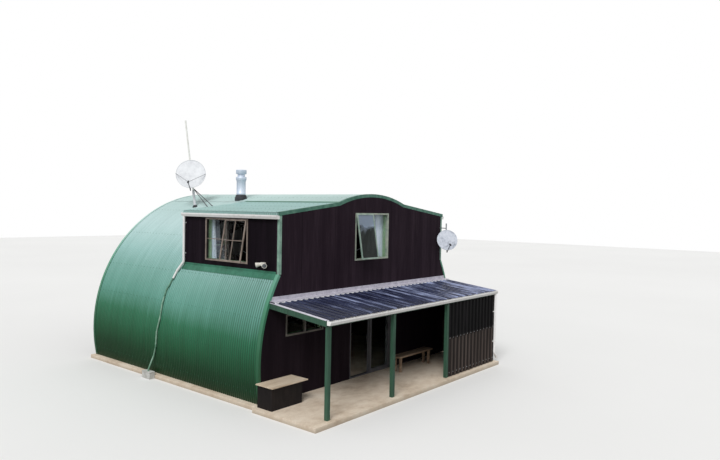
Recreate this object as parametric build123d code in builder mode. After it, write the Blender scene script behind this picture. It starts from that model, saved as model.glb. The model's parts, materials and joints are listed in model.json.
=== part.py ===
"""Backcountry hut: a round-arched sheet metal hut with two dormers and a front verandah.

X runs left to right as seen from the front, Y runs back from the front wall,
Z is height above the ground. The origin is on the ground, on the centre line of the front wall.
All sizes are in millimetres.
"""

from build123d import *
import os
from math import asin, atan, cos, degrees, pi, radians, sin, sqrt, tan

os.makedirs("parts", exist_ok=True)

# Slab
slab_thickness = 100
slab_side_margin = 139
slab_back_margin = 60
verandah_slab_left_margin = 120
verandah_slab_right_margin = 60
verandah_slab_depth = 1960

# Arched shell
hut_length = 7440
arch_radius = 4100
arch_centre_rise = 850
sheet_depth = 18
lining_depth = 100
wall_thickness = 110
fit = 0.3

# Upper storey and dormers
upper_floor_rise = 2500
upper_floor_thickness = 180
dormer_half_width = 3510
dormer_length = 3720
dormer_wall_thickness = 110
dormer_pitch = 7.26
junction_half_width = 1420
dormer_roof_thickness = 70
eave_overhang = 45

# Sheet metal trims
flashing_thickness = 3
barge_cover = 100
barge_face = 60
trim_leg = 70
roof_trim_face = 85
roof_trim_cover = 60
base_flashing_width = 150
base_flashing_upstand = 55

# Windows, each as outer frame sizes; sills are measured from the slab
frame_bar = 42
frame_depth = 80
frame_proud = 12
pane_thickness = 6
gable_window_width = 1456
gable_window_height = 1270
gable_window_sill = 3160
gable_window_centre = -40
dormer_window_length = 1670
dormer_window_above_base = 171
dormer_window_below_eave = 120
dormer_window_start = 1117
lower_window_width = 1300
lower_window_height = 520
lower_window_sill = 1480
lower_window_left = 3270
sash_bar = 36
sash_thickness = 26
sash_tilt = 10

# Glazed sliding door
door_half_width = 900
door_height = 2000
door_frame_bar = 40
door_frame_depth = 100
door_sill_height = 30
leaf_stile = 70
leaf_thickness = 34
leaf_gap = 6
leaf_overlap = 30
leaf_clearance = 5
leaf_travel = 790
roller_radius = 12
roller_width = 10
handle_height = 1000
handle_length = 180

# Verandah
verandah_left_inset = 16
verandah_right_inset = 76
verandah_roof_rise = 2350
verandah_fall = 200
verandah_roof_depth = 1860
post_line = 1780
post_size = 90
inner_posts = [-1400, 1040]
corner_post_inset = 100
beam_thickness = 45
beam_depth = 140
rafter_thickness = 45
rafter_depth = 90
rafter_count = 8
rib_pitch = 190
rib_height = 29
rib_base = 70
rib_top = 34
rib_sheet_thickness = 2
apron_upstand = 85
apron_cover = 190
apron_lip = 24
verandah_barge_thickness = 30
screen_foot_gap = 20
rail_height = 90
rail_thickness = 45

# Rainwater goods
gutter_width = 115
gutter_height = 95
gutter_floor_width = 86
gutter_lip_height = 33
gutter_wall = 3
pipe_radius = 33
pipe_wall = 3
pipe_sides = 14
pipe_kick_back = 165
pipe_kick_drop = 264
pipe_spout_gap = 11
clip_height = 30
wall_pipe_radius = 20
wall_pipe_sides = 8
rod_sides = 12
wall_pipe_wall = 2
wall_pipe_standoff = 8
wall_pipe_bend = 40
wall_pipe_course = [
    (50, 0.93),
    (165, 0.81),
    (183, 0.68),
    (165, 0.535),
    (240, 0.4),
    (266, 0.247),
    (362, 0.157),
]
wall_pipe_saddle = 11
gully_length = 380
gully_width = 170
gully_height = 190
gully_behind_spout = 430
gully_lid_thickness = 20
gully_lid_margin = 8

# Flue
flue_x = -1200
flue_behind_dormer = 450
flue_radius = 135
flue_wall = 3
flue_above_roof = 760
flue_sides = 28
flue_top_radius = 158
flue_cowl_height = 130
flue_neck_height = 90
flue_neck_radius = 112
boot_height = 130
boot_radius = 185

# Satellite dishes
dish_thickness = 3
dish_turn = 44.5
dish_tilt = 16
dish_bands = (0, 0.4, 0.7, 1)
dish_sides = 36
dish_stub = 120
dish_stub_radius = 15
feed_arm_radius = 11
feed_elbow_drop = 50
feed_stay_radius = 5
feed_head_radius = 28
feed_head_length = 95
roof_dish_radius = 450
roof_dish_depth = 75
roof_dish_x = -1820
roof_dish_behind_dormer = 1880
roof_mast_radius = 24
roof_mast_length = 2660
roof_mast_lean = (-0.078, 0.095)
roof_dish_height = 950
roof_stay_feet = (650, 950)
roof_stay_height = 570
roof_feed_reach = 430
roof_feed_drop = 380
side_dish_radius = 325
side_dish_depth = 55
side_pole_from_corner = 110
side_pole_y = -240
side_pole_radius = 19
side_pole_below_eave = 1030
side_pole_length = 740
side_dish_below_eave = 850
side_arms_below_eave = (920, 440)
side_arm_radius = 13
side_feed_reach = 400
side_feed_drop = 230

# Fittings on the walls
floodlight_y = 520
floodlight_above_base = 211
lamp_radius = 62
lamp_back_radius = 34
lamp_length = 120
lamp_plate_height = 86
lamp_plate_depth = 62
lamp_aim = (-0.75, 0.8, -0.25)

# Storage box and bench on the verandah
box_overhang = 40
box_length = 950
box_depth = 480
box_wall_gap = 20
box_height = 520
box_ply = 18
lid_overhang = 50
lid_length = 1120
lid_depth = 560
lid_thickness = 24
bench_left = 520
bench_length = 1650
bench_width = 300
bench_height = 450
bench_wall_gap = 320
plank_thickness = 45
bench_leg = 60

# Derived levels
slab_top = slab_thickness
arch_centre = slab_top + arch_centre_rise
slab_half_width = sqrt(arch_radius**2 - arch_centre_rise**2) + slab_side_margin
arch_at_verandah = sqrt(arch_radius**2 - (verandah_roof_rise - arch_centre_rise) ** 2)
verandah_left = arch_at_verandah - verandah_left_inset
verandah_right = arch_at_verandah - verandah_right_inset
verandah_slab_left = slab_half_width + verandah_slab_left_margin
verandah_slab_right = verandah_right + verandah_slab_right_margin
corner_post = verandah_right - corner_post_inset
box_left = arch_radius + box_overhang
lid_left = box_left + lid_overhang
side_pole_x = dormer_half_width - side_pole_from_corner
flue_y = dormer_length + flue_behind_dormer
roof_dish_y = dormer_length + roof_dish_behind_dormer
sheet_inner = arch_radius - sheet_depth
wall_radius = sheet_inner - fit
lining_inner = wall_radius - lining_depth
floor_top = slab_top + upper_floor_rise
floor_under = floor_top - upper_floor_thickness
door_head = slab_top + door_height
back_wall_front = hut_length - wall_thickness


def arch_height(x, radius):
    """Height of the arch of the given radius at distance x from the centre line."""
    return arch_centre + sqrt(radius**2 - x**2)


dormer_base = arch_height(dormer_half_width, arch_radius)
junction_height = arch_height(junction_half_width, arch_radius)
dormer_slope = tan(radians(dormer_pitch))
base_angle = degrees(asin((dormer_base - arch_centre) / arch_radius))
foot_angle = degrees(asin(arch_centre_rise / arch_radius))


def roof_top(x):
    """Height of a dormer roof's upper face at distance x from the centre line."""
    return junction_height - (x - junction_half_width) * dormer_slope


def roof_under(x):
    """Height of a dormer roof's lower face at distance x from the centre line."""
    return roof_top(x) - dormer_roof_thickness


def across(y):
    """Plane facing the front at depth y: sketch X is the hut's X, sketch Y is height."""
    return Plane((0, y, 0), x_dir=(1, 0, 0), z_dir=(0, -1, 0))


def along(x):
    """Plane facing right at x: sketch X runs back along the hut, sketch Y is height."""
    return Plane((x, 0, 0), x_dir=(0, 1, 0), z_dir=(1, 0, 0))


def radial(angle):
    """Plane through the arch's axis: sketch X runs back along it, sketch Y is the radius."""
    turn = radians(angle)
    return Plane((0, 0, arch_centre), x_dir=(0, 1, 0), z_dir=(sin(turn), 0, -cos(turn)))


arch_axis = Axis((0, 0, arch_centre), (0, 1, 0))


def write(piece, name):
    """Label a finished piece and write it to its own file."""
    piece.part.label = name
    export_step(piece.part, f"parts/{name}.step")


# Slab: one pour under the hut and its verandah
with BuildPart() as floor_slab:
    with BuildSketch(Plane.XY):
        with Locations((0, (hut_length + slab_back_margin) / 2)):
            Rectangle(2 * slab_half_width, hut_length + slab_back_margin)
        with Locations(((verandah_slab_right - verandah_slab_left) / 2, -verandah_slab_depth / 2)):
            Rectangle(verandah_slab_left + verandah_slab_right, verandah_slab_depth)
    extrude(amount=slab_thickness)
write(floor_slab, "floor_slab")

# Arched roof sheets. Their edges meet on the level of the dormers' feet.
sheet_limit = 2 * arch_radius


def ring_sketch(outer, inner):
    """Ring of the arch between two radii, in the open sketch."""
    with Locations((0, arch_centre)):
        Circle(outer)
        Circle(inner, mode=Mode.SUBTRACT)


def keep_box(x_low, x_high, z_low, z_high):
    """Keep only what lies inside a rectangle of the open sketch."""
    with Locations(((x_low + x_high) / 2, (z_low + z_high) / 2)):
        Rectangle(x_high - x_low, z_high - z_low, mode=Mode.INTERSECT)


for side, name in ((-1, "arch_sheet_left"), (1, "arch_sheet_right")):
    with BuildPart() as arch_sheet:
        with BuildSketch(across(0)):
            ring_sketch(arch_radius, sheet_inner)
            keep_box(min(0, side * sheet_limit), max(0, side * sheet_limit), slab_top, dormer_base)
        extrude(amount=-hut_length)
    write(arch_sheet, name)

with BuildPart() as arch_sheet_crown_front:
    with BuildSketch(across(0)):
        ring_sketch(arch_radius, sheet_inner)
        keep_box(-junction_half_width, junction_half_width, dormer_base, dormer_base + sheet_limit)
    extrude(amount=-dormer_length)
write(arch_sheet_crown_front, "arch_sheet_crown_front")

with BuildPart() as arch_sheet_crown_rear:
    with BuildSketch(across(dormer_length)):
        ring_sketch(arch_radius, sheet_inner)
        keep_box(-sheet_limit, sheet_limit, dormer_base, dormer_base + sheet_limit)
    extrude(amount=-(hut_length - dormer_length))
    with BuildSketch(Plane.XY.offset(floor_top)):
        with Locations((flue_x, flue_y)):
            Circle(flue_radius + fit)
    extrude(amount=sheet_limit, mode=Mode.SUBTRACT)
write(arch_sheet_crown_rear, "arch_sheet_crown_rear")

# Lining and frame behind the sheets, between the end walls
inner_start = wall_thickness
inner_length = hut_length - 2 * wall_thickness
with BuildPart() as arch_lining_sides:
    with BuildSketch(across(inner_start)):
        ring_sketch(wall_radius, lining_inner)
        keep_box(-sheet_limit, sheet_limit, slab_top, dormer_base)
    extrude(amount=-inner_length)
write(arch_lining_sides, "arch_lining_sides")

with BuildPart() as arch_lining_crown:
    with BuildSketch(across(inner_start)):
        ring_sketch(wall_radius, lining_inner)
        keep_box(-junction_half_width, junction_half_width, dormer_base, dormer_base + sheet_limit)
    extrude(amount=-(dormer_length - inner_start))
    with BuildSketch(across(dormer_length)):
        ring_sketch(wall_radius, lining_inner)
        keep_box(-sheet_limit, sheet_limit, dormer_base, dormer_base + sheet_limit)
    extrude(amount=-(back_wall_front - dormer_length))
    with BuildSketch(Plane.XY.offset(floor_top)):
        with Locations((flue_x, flue_y)):
            Circle(flue_radius + fit)
    extrude(amount=sheet_limit, mode=Mode.SUBTRACT)
write(arch_lining_crown, "arch_lining_crown")

# Upper floor, seated between the linings
with BuildPart() as upper_floor:
    with BuildSketch(across(inner_start)):
        with Locations((0, arch_centre)):
            Circle(lining_inner - fit)
        keep_box(-sheet_limit, sheet_limit, floor_under, floor_top)
    extrude(amount=-inner_length)
write(upper_floor, "upper_floor")

# End walls, cut to the arch
lower_sill = slab_top + lower_window_sill
lower_centre_x = -lower_window_left + lower_window_width / 2
lower_centre_z = lower_sill + lower_window_height / 2
gable_centre_z = slab_top + gable_window_sill + gable_window_height / 2

with BuildPart() as front_wall_left:
    with BuildSketch(across(0)):
        with Locations((0, arch_centre)):
            Circle(wall_radius)
        keep_box(-sheet_limit, -door_half_width, slab_top, door_head)
        with Locations((lower_centre_x, lower_centre_z)):
            Rectangle(lower_window_width, lower_window_height, mode=Mode.SUBTRACT)
    extrude(amount=-wall_thickness)
write(front_wall_left, "front_wall_left")

with BuildPart() as front_wall_right:
    with BuildSketch(across(0)):
        with Locations((0, arch_centre)):
            Circle(wall_radius)
        keep_box(door_half_width, sheet_limit, slab_top, door_head)
    extrude(amount=-wall_thickness)
write(front_wall_right, "front_wall_right")

with BuildPart() as front_gable:
    with BuildSketch(across(0)):
        with Locations((0, arch_centre)):
            Circle(wall_radius)
        for side in (-1, 1):
            Polygon(
                (side * junction_half_width, roof_under(junction_half_width)),
                (side * arch_radius, roof_under(arch_radius)),
                (side * arch_radius, dormer_base + sheet_limit),
                (side * junction_half_width, dormer_base + sheet_limit),
                align=None,
                mode=Mode.SUBTRACT,
            )
        Polygon(
            (-dormer_half_width, dormer_base),
            (dormer_half_width, dormer_base),
            (dormer_half_width, roof_under(dormer_half_width)),
            (junction_half_width, roof_under(junction_half_width)),
            (-junction_half_width, roof_under(junction_half_width)),
            (-dormer_half_width, roof_under(dormer_half_width)),
            align=None,
        )
        keep_box(-sheet_limit, sheet_limit, door_head, door_head + sheet_limit)
        with Locations((gable_window_centre, gable_centre_z)):
            Rectangle(gable_window_width, gable_window_height, mode=Mode.SUBTRACT)
    extrude(amount=-wall_thickness)
write(front_gable, "front_gable")

with BuildPart() as rear_wall_lower:
    with BuildSketch(across(back_wall_front)):
        with Locations((0, arch_centre)):
            Circle(wall_radius)
        keep_box(-sheet_limit, sheet_limit, slab_top, floor_under)
        with Locations((0, lower_centre_z)):
            Rectangle(lower_window_width, lower_window_height, mode=Mode.SUBTRACT)
    extrude(amount=-wall_thickness)
write(rear_wall_lower, "rear_wall_lower")

with BuildPart() as rear_wall_upper:
    with BuildSketch(across(back_wall_front)):
        with Locations((0, arch_centre)):
            Circle(wall_radius)
        keep_box(-sheet_limit, sheet_limit, floor_under, floor_under + sheet_limit)
        with Locations((0, gable_centre_z)):
            Rectangle(gable_window_width, gable_window_height, mode=Mode.SUBTRACT)
    extrude(amount=-wall_thickness)
write(rear_wall_upper, "rear_wall_upper")

# Dormer side walls, rear cheeks and roofs
dormer_centre_y = dormer_window_start + dormer_window_length / 2
dormer_window_bottom = dormer_base + dormer_window_above_base
dormer_window_height = roof_under(dormer_half_width) - dormer_window_below_eave - dormer_window_bottom
dormer_centre_z = dormer_window_bottom + dormer_window_height / 2
dormer_inner = dormer_half_width - dormer_wall_thickness
for side, name in ((-1, "dormer_wall_left"), (1, "dormer_wall_right")):
    with BuildPart() as dormer_wall:
        with BuildSketch(across(wall_thickness)):
            Polygon(
                (side * dormer_half_width, dormer_base),
                (side * dormer_inner, dormer_base),
                (side * dormer_inner, roof_under(dormer_inner)),
                (side * dormer_half_width, roof_under(dormer_half_width)),
                align=None,
            )
        extrude(amount=-(dormer_length - wall_thickness))
        with BuildSketch(along(side * dormer_half_width)):
            with Locations((dormer_centre_y, dormer_centre_z)):
                Rectangle(dormer_window_length, dormer_window_height)
        extrude(amount=-side * dormer_wall_thickness, mode=Mode.SUBTRACT)
    write(dormer_wall, name)

with BuildPart() as dormer_cheeks:
    with BuildSketch(across(dormer_length - dormer_wall_thickness)):
        for side in (-1, 1):
            Polygon(
                (side * dormer_inner, dormer_base),
                (side * dormer_inner, roof_under(dormer_inner)),
                (side * junction_half_width, roof_under(junction_half_width)),
                (side * junction_half_width, dormer_base),
                align=None,
            )
        with Locations((0, arch_centre)):
            Circle(lining_inner, mode=Mode.SUBTRACT)
    extrude(amount=-dormer_wall_thickness)
write(dormer_cheeks, "dormer_cheeks")

for side, name in ((-1, "dormer_roof_left"), (1, "dormer_roof_right")):
    with BuildPart() as dormer_roof:
        eave_edge = dormer_half_width + eave_overhang
        with BuildSketch(across(0)):
            Polygon(
                (side * junction_half_width, roof_under(junction_half_width)),
                (side * junction_half_width, roof_top(junction_half_width)),
                (side * eave_edge, roof_top(eave_edge)),
                (side * eave_edge, roof_under(eave_edge)),
                align=None,
            )
        extrude(amount=-dormer_length)
    write(dormer_roof, name)

# Flashings: angles folded over the arch's open edges, at the front and at the back
barge_inner = arch_radius - barge_face
barge_outer = arch_radius + fit + flashing_thickness
barge_head_angle = degrees(asin((dormer_base - arch_centre) / barge_outer))
arch_turn = foot_angle + barge_head_angle


def barge_profile(edge, inward):
    """Angle over a sheet edge at depth edge; inward is 1 towards the back and -1 forwards."""
    Polygon(
        (edge - inward * flashing_thickness, barge_inner),
        (edge, barge_inner),
        (edge, arch_radius + fit),
        (edge + inward * barge_cover, arch_radius + fit),
        (edge + inward * barge_cover, barge_outer),
        (edge - inward * flashing_thickness, barge_outer),
        align=None,
    )


with BuildPart() as arch_barges:
    for start in (180 + foot_angle, barge_head_angle):
        with BuildSketch(radial(start)):
            barge_profile(0, 1)
        revolve(axis=arch_axis, revolution_arc=arch_turn)
    with BuildSketch(radial(180 + foot_angle)):
        barge_profile(hut_length, -1)
    revolve(axis=arch_axis, revolution_arc=180 + 2 * foot_angle)
    split(bisect_by=Plane.XY.offset(slab_top), keep=Keep.TOP)
write(arch_barges, "arch_barges")

# Trim along the gable's roof edge, with the dormers' corner angles
with BuildPart() as gable_trim:
    face_outer = arch_radius + flashing_thickness
    for depth, low in ((0, -roof_trim_face), (roof_trim_cover, fit)):
        with BuildSketch(across(-flashing_thickness)):
            with Locations((0, arch_centre)):
                Circle(face_outer + fit)
                Circle(arch_radius + low, mode=Mode.SUBTRACT)
            keep_box(-junction_half_width, junction_half_width, dormer_base, dormer_base + sheet_limit)
            for side in (-1, 1):
                eave_edge = dormer_half_width + eave_overhang
                Polygon(
                    (side * junction_half_width, roof_top(junction_half_width) + low),
                    (side * junction_half_width, roof_top(junction_half_width) + flashing_thickness + fit),
                    (side * eave_edge, roof_top(eave_edge) + flashing_thickness + fit),
                    (side * eave_edge, roof_top(eave_edge) + low),
                    align=None,
                )
        extrude(amount=-(depth + flashing_thickness))
    for side in (-1, 1):
        corner = side * dormer_half_width
        outside = side * (dormer_half_width + flashing_thickness)
        inside = side * (dormer_half_width - trim_leg)
        with BuildSketch(Plane.XY.offset(dormer_base)):
            Polygon(
                (inside, -flashing_thickness),
                (inside, 0),
                (corner, 0),
                (corner, trim_leg),
                (outside, trim_leg),
                (outside, -flashing_thickness),
                align=None,
            )
        extrude(amount=roof_under(dormer_half_width + eave_overhang) - dormer_base)
write(gable_trim, "gable_trim")

# Flashing folded from the dormer walls down over the arch
with BuildPart() as base_flashings:
    lap_angle = degrees(base_flashing_width / arch_radius)
    lap_low = arch_centre + arch_radius * sin(radians(base_angle - lap_angle))
    flashing_front = barge_cover + fit
    with BuildSketch(across(flashing_front)):
        ring_sketch(arch_radius + fit + flashing_thickness, arch_radius + fit)
        keep_box(-sheet_limit, sheet_limit, lap_low, dormer_base)
        for side in (-1, 1):
            Polygon(
                (side * dormer_half_width, dormer_base - flashing_thickness),
                (side * dormer_half_width, dormer_base + base_flashing_upstand),
                (side * (dormer_half_width + flashing_thickness), dormer_base + base_flashing_upstand),
                (side * (dormer_half_width + flashing_thickness), dormer_base - flashing_thickness),
                align=None,
            )
        with Locations((0, arch_centre)):
            Circle(arch_radius + fit / 2, mode=Mode.SUBTRACT)
    extrude(amount=-(dormer_length - flashing_front))
write(base_flashings, "base_flashings")


# Windows
def outer_frame(width, height, bar):
    """Frame ring centred on the sketch's origin."""
    Rectangle(width, height)
    Rectangle(width - 2 * bar, height - 2 * bar, mode=Mode.SUBTRACT)


def end_window_plane(x, z, outward):
    """Plane on an end wall's outer face; outward is -1 at the front and 1 at the back."""
    y = 0 if outward < 0 else hut_length
    return Plane((x, y, z), x_dir=(-outward, 0, 0), z_dir=(0, outward, 0))


def side_window_plane(side):
    """Plane on a dormer wall's outer face, with sketch X to the right as seen from outside."""
    return Plane(
        (side * dormer_half_width, dormer_centre_y, dormer_centre_z),
        x_dir=(0, side, 0),
        z_dir=(side, 0, 0),
    )


gable_plane = end_window_plane(gable_window_centre, gable_centre_z, -1)
rear_gable_plane = end_window_plane(0, gable_centre_z, 1)
lower_plane = end_window_plane(lower_centre_x, lower_centre_z, -1)
rear_lower_plane = end_window_plane(0, lower_centre_z, 1)


def frame_solid(plane, width, height):
    """Frame with a middle bar, standing proud of the wall's face."""
    with BuildPart() as frame:
        with BuildSketch(plane.offset(frame_proud)):
            outer_frame(width, height, frame_bar)
            Rectangle(frame_bar, height)
        extrude(amount=-frame_depth)
    return frame.part


gable_frames = [
    frame_solid(plane, gable_window_width, gable_window_height) for plane in (gable_plane, rear_gable_plane)
]
lower_frames = [
    frame_solid(plane, lower_window_width, lower_window_height) for plane in (lower_plane, rear_lower_plane)
]
with BuildPart() as end_window_frames:
    add(gable_frames + lower_frames)
write(end_window_frames, "end_window_frames")

dormer_frames = [
    frame_solid(side_window_plane(side), dormer_window_length, dormer_window_height) for side in (-1, 1)
]
with BuildPart() as dormer_window_frames:
    add(dormer_frames)
write(dormer_window_frames, "dormer_window_frames")


def sash_plane(plane, offset_x, height, tilt):
    """Plane of an awning sash that hangs from the head of its frame, tilted outward."""
    hinge = plane.from_local_coords((offset_x, height / 2, frame_proud + fit))
    normal = plane.z_dir * cos(radians(tilt)) + plane.y_dir * sin(radians(tilt))
    return Plane(hinge, x_dir=plane.x_dir, z_dir=normal)


def sash_solid(plane, width, height):
    """Sash hanging down from the plane's origin."""
    with BuildPart() as sash:
        with BuildSketch(plane):
            with Locations((0, -height / 2)):
                outer_frame(width, height, sash_bar)
        extrude(amount=sash_thickness)
    return sash.part


def pane_solid(plane, width, height):
    """Pane of glass centred on a plane."""
    with BuildPart() as pane:
        with BuildSketch(plane):
            Rectangle(width, height)
        extrude(amount=pane_thickness)
    return pane.part


gable_lite = (gable_window_width - 3 * frame_bar) / 2
gable_lite_height = gable_window_height - 2 * frame_bar
gable_lite_x = (gable_lite + frame_bar) / 2
dormer_lite = (dormer_window_length - 3 * frame_bar) / 2
dormer_lite_height = dormer_window_height - 2 * frame_bar
dormer_lite_x = (dormer_lite + frame_bar) / 2
lower_lite = (lower_window_width - 3 * frame_bar) / 2
lower_lite_height = lower_window_height - 2 * frame_bar
lower_lite_x = (lower_lite + frame_bar) / 2
gable_sash_width = gable_lite + frame_bar
dormer_sash_width = dormer_lite + frame_bar
gable_sash_height = gable_lite_height + frame_bar
dormer_sash_height = dormer_lite_height + frame_bar
gable_sash = sash_plane(gable_plane, -gable_lite_x, gable_sash_height, sash_tilt)
dormer_sashes = [
    sash_plane(side_window_plane(side), -side * dormer_lite_x, dormer_sash_height, sash_tilt)
    for side in (-1, 1)
]

sashes = [sash_solid(gable_sash, gable_sash_width, gable_sash_height)]
sashes += [sash_solid(plane, dormer_sash_width, dormer_sash_height) for plane in dormer_sashes]
with BuildPart() as awning_sashes:
    add(sashes)
write(awning_sashes, "awning_sashes")

pane_inset = -frame_depth / 2 + frame_proud


def lite_plane(plane, x):
    """Plane of a fixed pane, part way into its frame."""
    return Plane(plane.from_local_coords((x, 0, pane_inset)), x_dir=plane.x_dir, z_dir=plane.z_dir)


def sash_pane_plane(plane, height):
    """Plane of the pane in a sash."""
    middle = (sash_thickness - pane_thickness) / 2
    return Plane(plane.from_local_coords((0, -height / 2, middle)), x_dir=plane.x_dir, z_dir=plane.z_dir)


panes = [pane_solid(lite_plane(gable_plane, gable_lite_x), gable_lite, gable_lite_height)]
for turn in (-1, 1):
    rear_lite = lite_plane(rear_gable_plane, turn * gable_lite_x)
    panes.append(pane_solid(rear_lite, gable_lite, gable_lite_height))
    for plane in (lower_plane, rear_lower_plane):
        panes.append(pane_solid(lite_plane(plane, turn * lower_lite_x), lower_lite, lower_lite_height))
    fixed_lite = lite_plane(side_window_plane(turn), turn * dormer_lite_x)
    panes.append(pane_solid(fixed_lite, dormer_lite, dormer_lite_height))
panes.append(
    pane_solid(
        sash_pane_plane(gable_sash, gable_sash_height),
        gable_sash_width - 2 * sash_bar,
        gable_sash_height - 2 * sash_bar,
    )
)
for plane in dormer_sashes:
    panes.append(
        pane_solid(
            sash_pane_plane(plane, dormer_sash_height),
            dormer_sash_width - 2 * sash_bar,
            dormer_sash_height - 2 * sash_bar,
        )
    )
with BuildPart() as window_glass:
    add(panes)
write(window_glass, "window_glass")

# Glazed sliding door: the right leaf is fixed, the left one slides behind it
door_front = (wall_thickness - door_frame_depth) / 2
door_plane = Plane((0, door_front, slab_top + door_height / 2), x_dir=(1, 0, 0), z_dir=(0, -1, 0))
leaf_bottom = slab_top + door_sill_height
leaf_top = door_head - door_frame_bar
fixed_leaf_y = door_front + (door_frame_depth - 2 * leaf_thickness - leaf_gap) / 2
sliding_leaf_y = fixed_leaf_y + leaf_thickness + leaf_gap
leaf_width = door_half_width - door_frame_bar + leaf_overlap
fixed_leaf_x = door_half_width - door_frame_bar - leaf_width / 2
sliding_leaf_x = -fixed_leaf_x + leaf_travel
sliding_bottom = leaf_bottom + leaf_clearance
sliding_height = leaf_top - leaf_clearance - sliding_bottom

with BuildPart() as door_frame:
    with BuildSketch(door_plane):
        Rectangle(2 * door_half_width, door_height)
        with Locations((0, (door_sill_height - door_frame_bar) / 2)):
            Rectangle(
                2 * (door_half_width - door_frame_bar),
                door_height - door_frame_bar - door_sill_height,
                mode=Mode.SUBTRACT,
            )
    extrude(amount=-door_frame_depth)
write(door_frame, "door_frame")

with BuildPart() as door_fixed_leaf:
    with BuildSketch(across(fixed_leaf_y)):
        with Locations((fixed_leaf_x, (leaf_bottom + leaf_top) / 2)):
            outer_frame(leaf_width, leaf_top - leaf_bottom, leaf_stile)
    extrude(amount=-leaf_thickness)
write(door_fixed_leaf, "door_fixed_leaf")

with BuildPart() as door_fixed_glass:
    with BuildSketch(across(fixed_leaf_y + (leaf_thickness - pane_thickness) / 2)):
        with Locations((fixed_leaf_x, (leaf_bottom + leaf_top) / 2)):
            Rectangle(leaf_width - 2 * leaf_stile, leaf_top - leaf_bottom - 2 * leaf_stile)
    extrude(amount=-pane_thickness)
write(door_fixed_glass, "door_fixed_glass")

with BuildPart() as door_sliding_leaf:
    with BuildSketch(across(sliding_leaf_y)):
        with Locations((sliding_leaf_x, sliding_bottom + sliding_height / 2)):
            outer_frame(leaf_width, sliding_height, leaf_stile)
    extrude(amount=-leaf_thickness)
    roller_z = leaf_bottom + fit + roller_radius
    with BuildSketch(across(sliding_leaf_y + (leaf_thickness - roller_width) / 2)):
        for x in (-leaf_width / 2 + 2 * leaf_stile, leaf_width / 2 - 2 * leaf_stile):
            with Locations((sliding_leaf_x + x, roller_z)):
                Circle(roller_radius)
    extrude(amount=-roller_width)
    with BuildSketch(across(sliding_leaf_y + leaf_thickness)):
        with Locations((sliding_leaf_x - leaf_width / 2 + leaf_stile / 2, slab_top + handle_height)):
            RectangleRounded(leaf_stile / 2, handle_length, leaf_stile / 5)
    extrude(amount=-leaf_stile / 4)
write(door_sliding_leaf, "door_sliding_leaf")

with BuildPart() as door_sliding_glass:
    with BuildSketch(across(sliding_leaf_y + (leaf_thickness - pane_thickness) / 2)):
        with Locations((sliding_leaf_x, sliding_bottom + sliding_height / 2)):
            Rectangle(leaf_width - 2 * leaf_stile, sliding_height - 2 * leaf_stile)
    extrude(amount=-pane_thickness)
write(door_sliding_glass, "door_sliding_glass")

# Verandah. The roof's plane falls from the wall to the front.
roof_at_wall = slab_top + verandah_roof_rise
fall_angle = atan(verandah_fall / verandah_roof_depth)
fall = verandah_fall / verandah_roof_depth
sheet_drop = rib_sheet_thickness / cos(fall_angle)
beam_front = post_line + beam_thickness / 2
beam_back = post_line - beam_thickness / 2
verandah_middle = (verandah_right - verandah_left) / 2
verandah_width = verandah_left + verandah_right


def pan_under(reach):
    """Height of the sheet's underside at a distance in front of the wall."""
    return roof_at_wall - sheet_drop - reach * fall


def barge_relief():
    """Room left for the arch's barge flashings where the verandah meets the wall."""
    with Locations((0, arch_centre)):
        Circle(barge_outer + barge_face)
        Circle(barge_inner - fit, mode=Mode.SUBTRACT)


beam_bottom = pan_under(beam_front) - beam_depth

post_places = [-verandah_left + verandah_barge_thickness + post_size / 2, *inner_posts, corner_post]
with BuildPart() as verandah_posts:
    for x in post_places:
        with BuildSketch(Plane.XY.offset(slab_top)):
            with Locations((x, -post_line)):
                Rectangle(post_size, post_size)
        extrude(amount=beam_bottom - slab_top)
    screen_middle = (post_places[2] + post_places[3]) / 2
    rail_length = post_places[3] - post_places[2] - post_size
    rail_y = -post_line - post_size / 2
    for z in (slab_top + 2 * rail_height, (slab_top + beam_bottom) / 2, beam_bottom - rail_height):
        with BuildSketch(across(rail_y)):
            with Locations((screen_middle, z)):
                Rectangle(rail_length, rail_height)
        extrude(amount=-rail_thickness)
write(verandah_posts, "verandah_posts")

with BuildPart() as verandah_beam:
    with BuildSketch(along(-verandah_left + verandah_barge_thickness)):
        Polygon(
            (-beam_front, beam_bottom),
            (-beam_back, beam_bottom),
            (-beam_back, pan_under(beam_back)),
            (-beam_front, pan_under(beam_front)),
            align=None,
        )
    extrude(amount=verandah_width - 2 * verandah_barge_thickness)
write(verandah_beam, "verandah_beam")

with BuildPart() as verandah_rafters:
    rafter_span = verandah_width - 2 * verandah_barge_thickness - rafter_thickness
    for index in range(rafter_count):
        left = -verandah_left + verandah_barge_thickness + index * rafter_span / (rafter_count - 1)
        with BuildSketch(along(left)):
            Polygon(
                (-beam_back, pan_under(beam_back) - rafter_depth),
                (-beam_back, pan_under(beam_back)),
                (-rafter_thickness, pan_under(rafter_thickness)),
                (-rafter_thickness, pan_under(rafter_thickness) - rafter_depth),
                align=None,
            )
        extrude(amount=rafter_thickness)
    with BuildSketch(along(-verandah_left + verandah_barge_thickness)):
        Polygon(
            (-rafter_thickness, pan_under(rafter_thickness) - beam_depth),
            (-rafter_thickness, pan_under(rafter_thickness)),
            (0, pan_under(0)),
            (0, pan_under(rafter_thickness) - beam_depth),
            align=None,
        )
    extrude(amount=verandah_width - 2 * verandah_barge_thickness)
    with BuildSketch(across(0)):
        barge_relief()
    extrude(amount=flashing_thickness + fit, mode=Mode.SUBTRACT)
write(verandah_rafters, "verandah_rafters")


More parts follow.
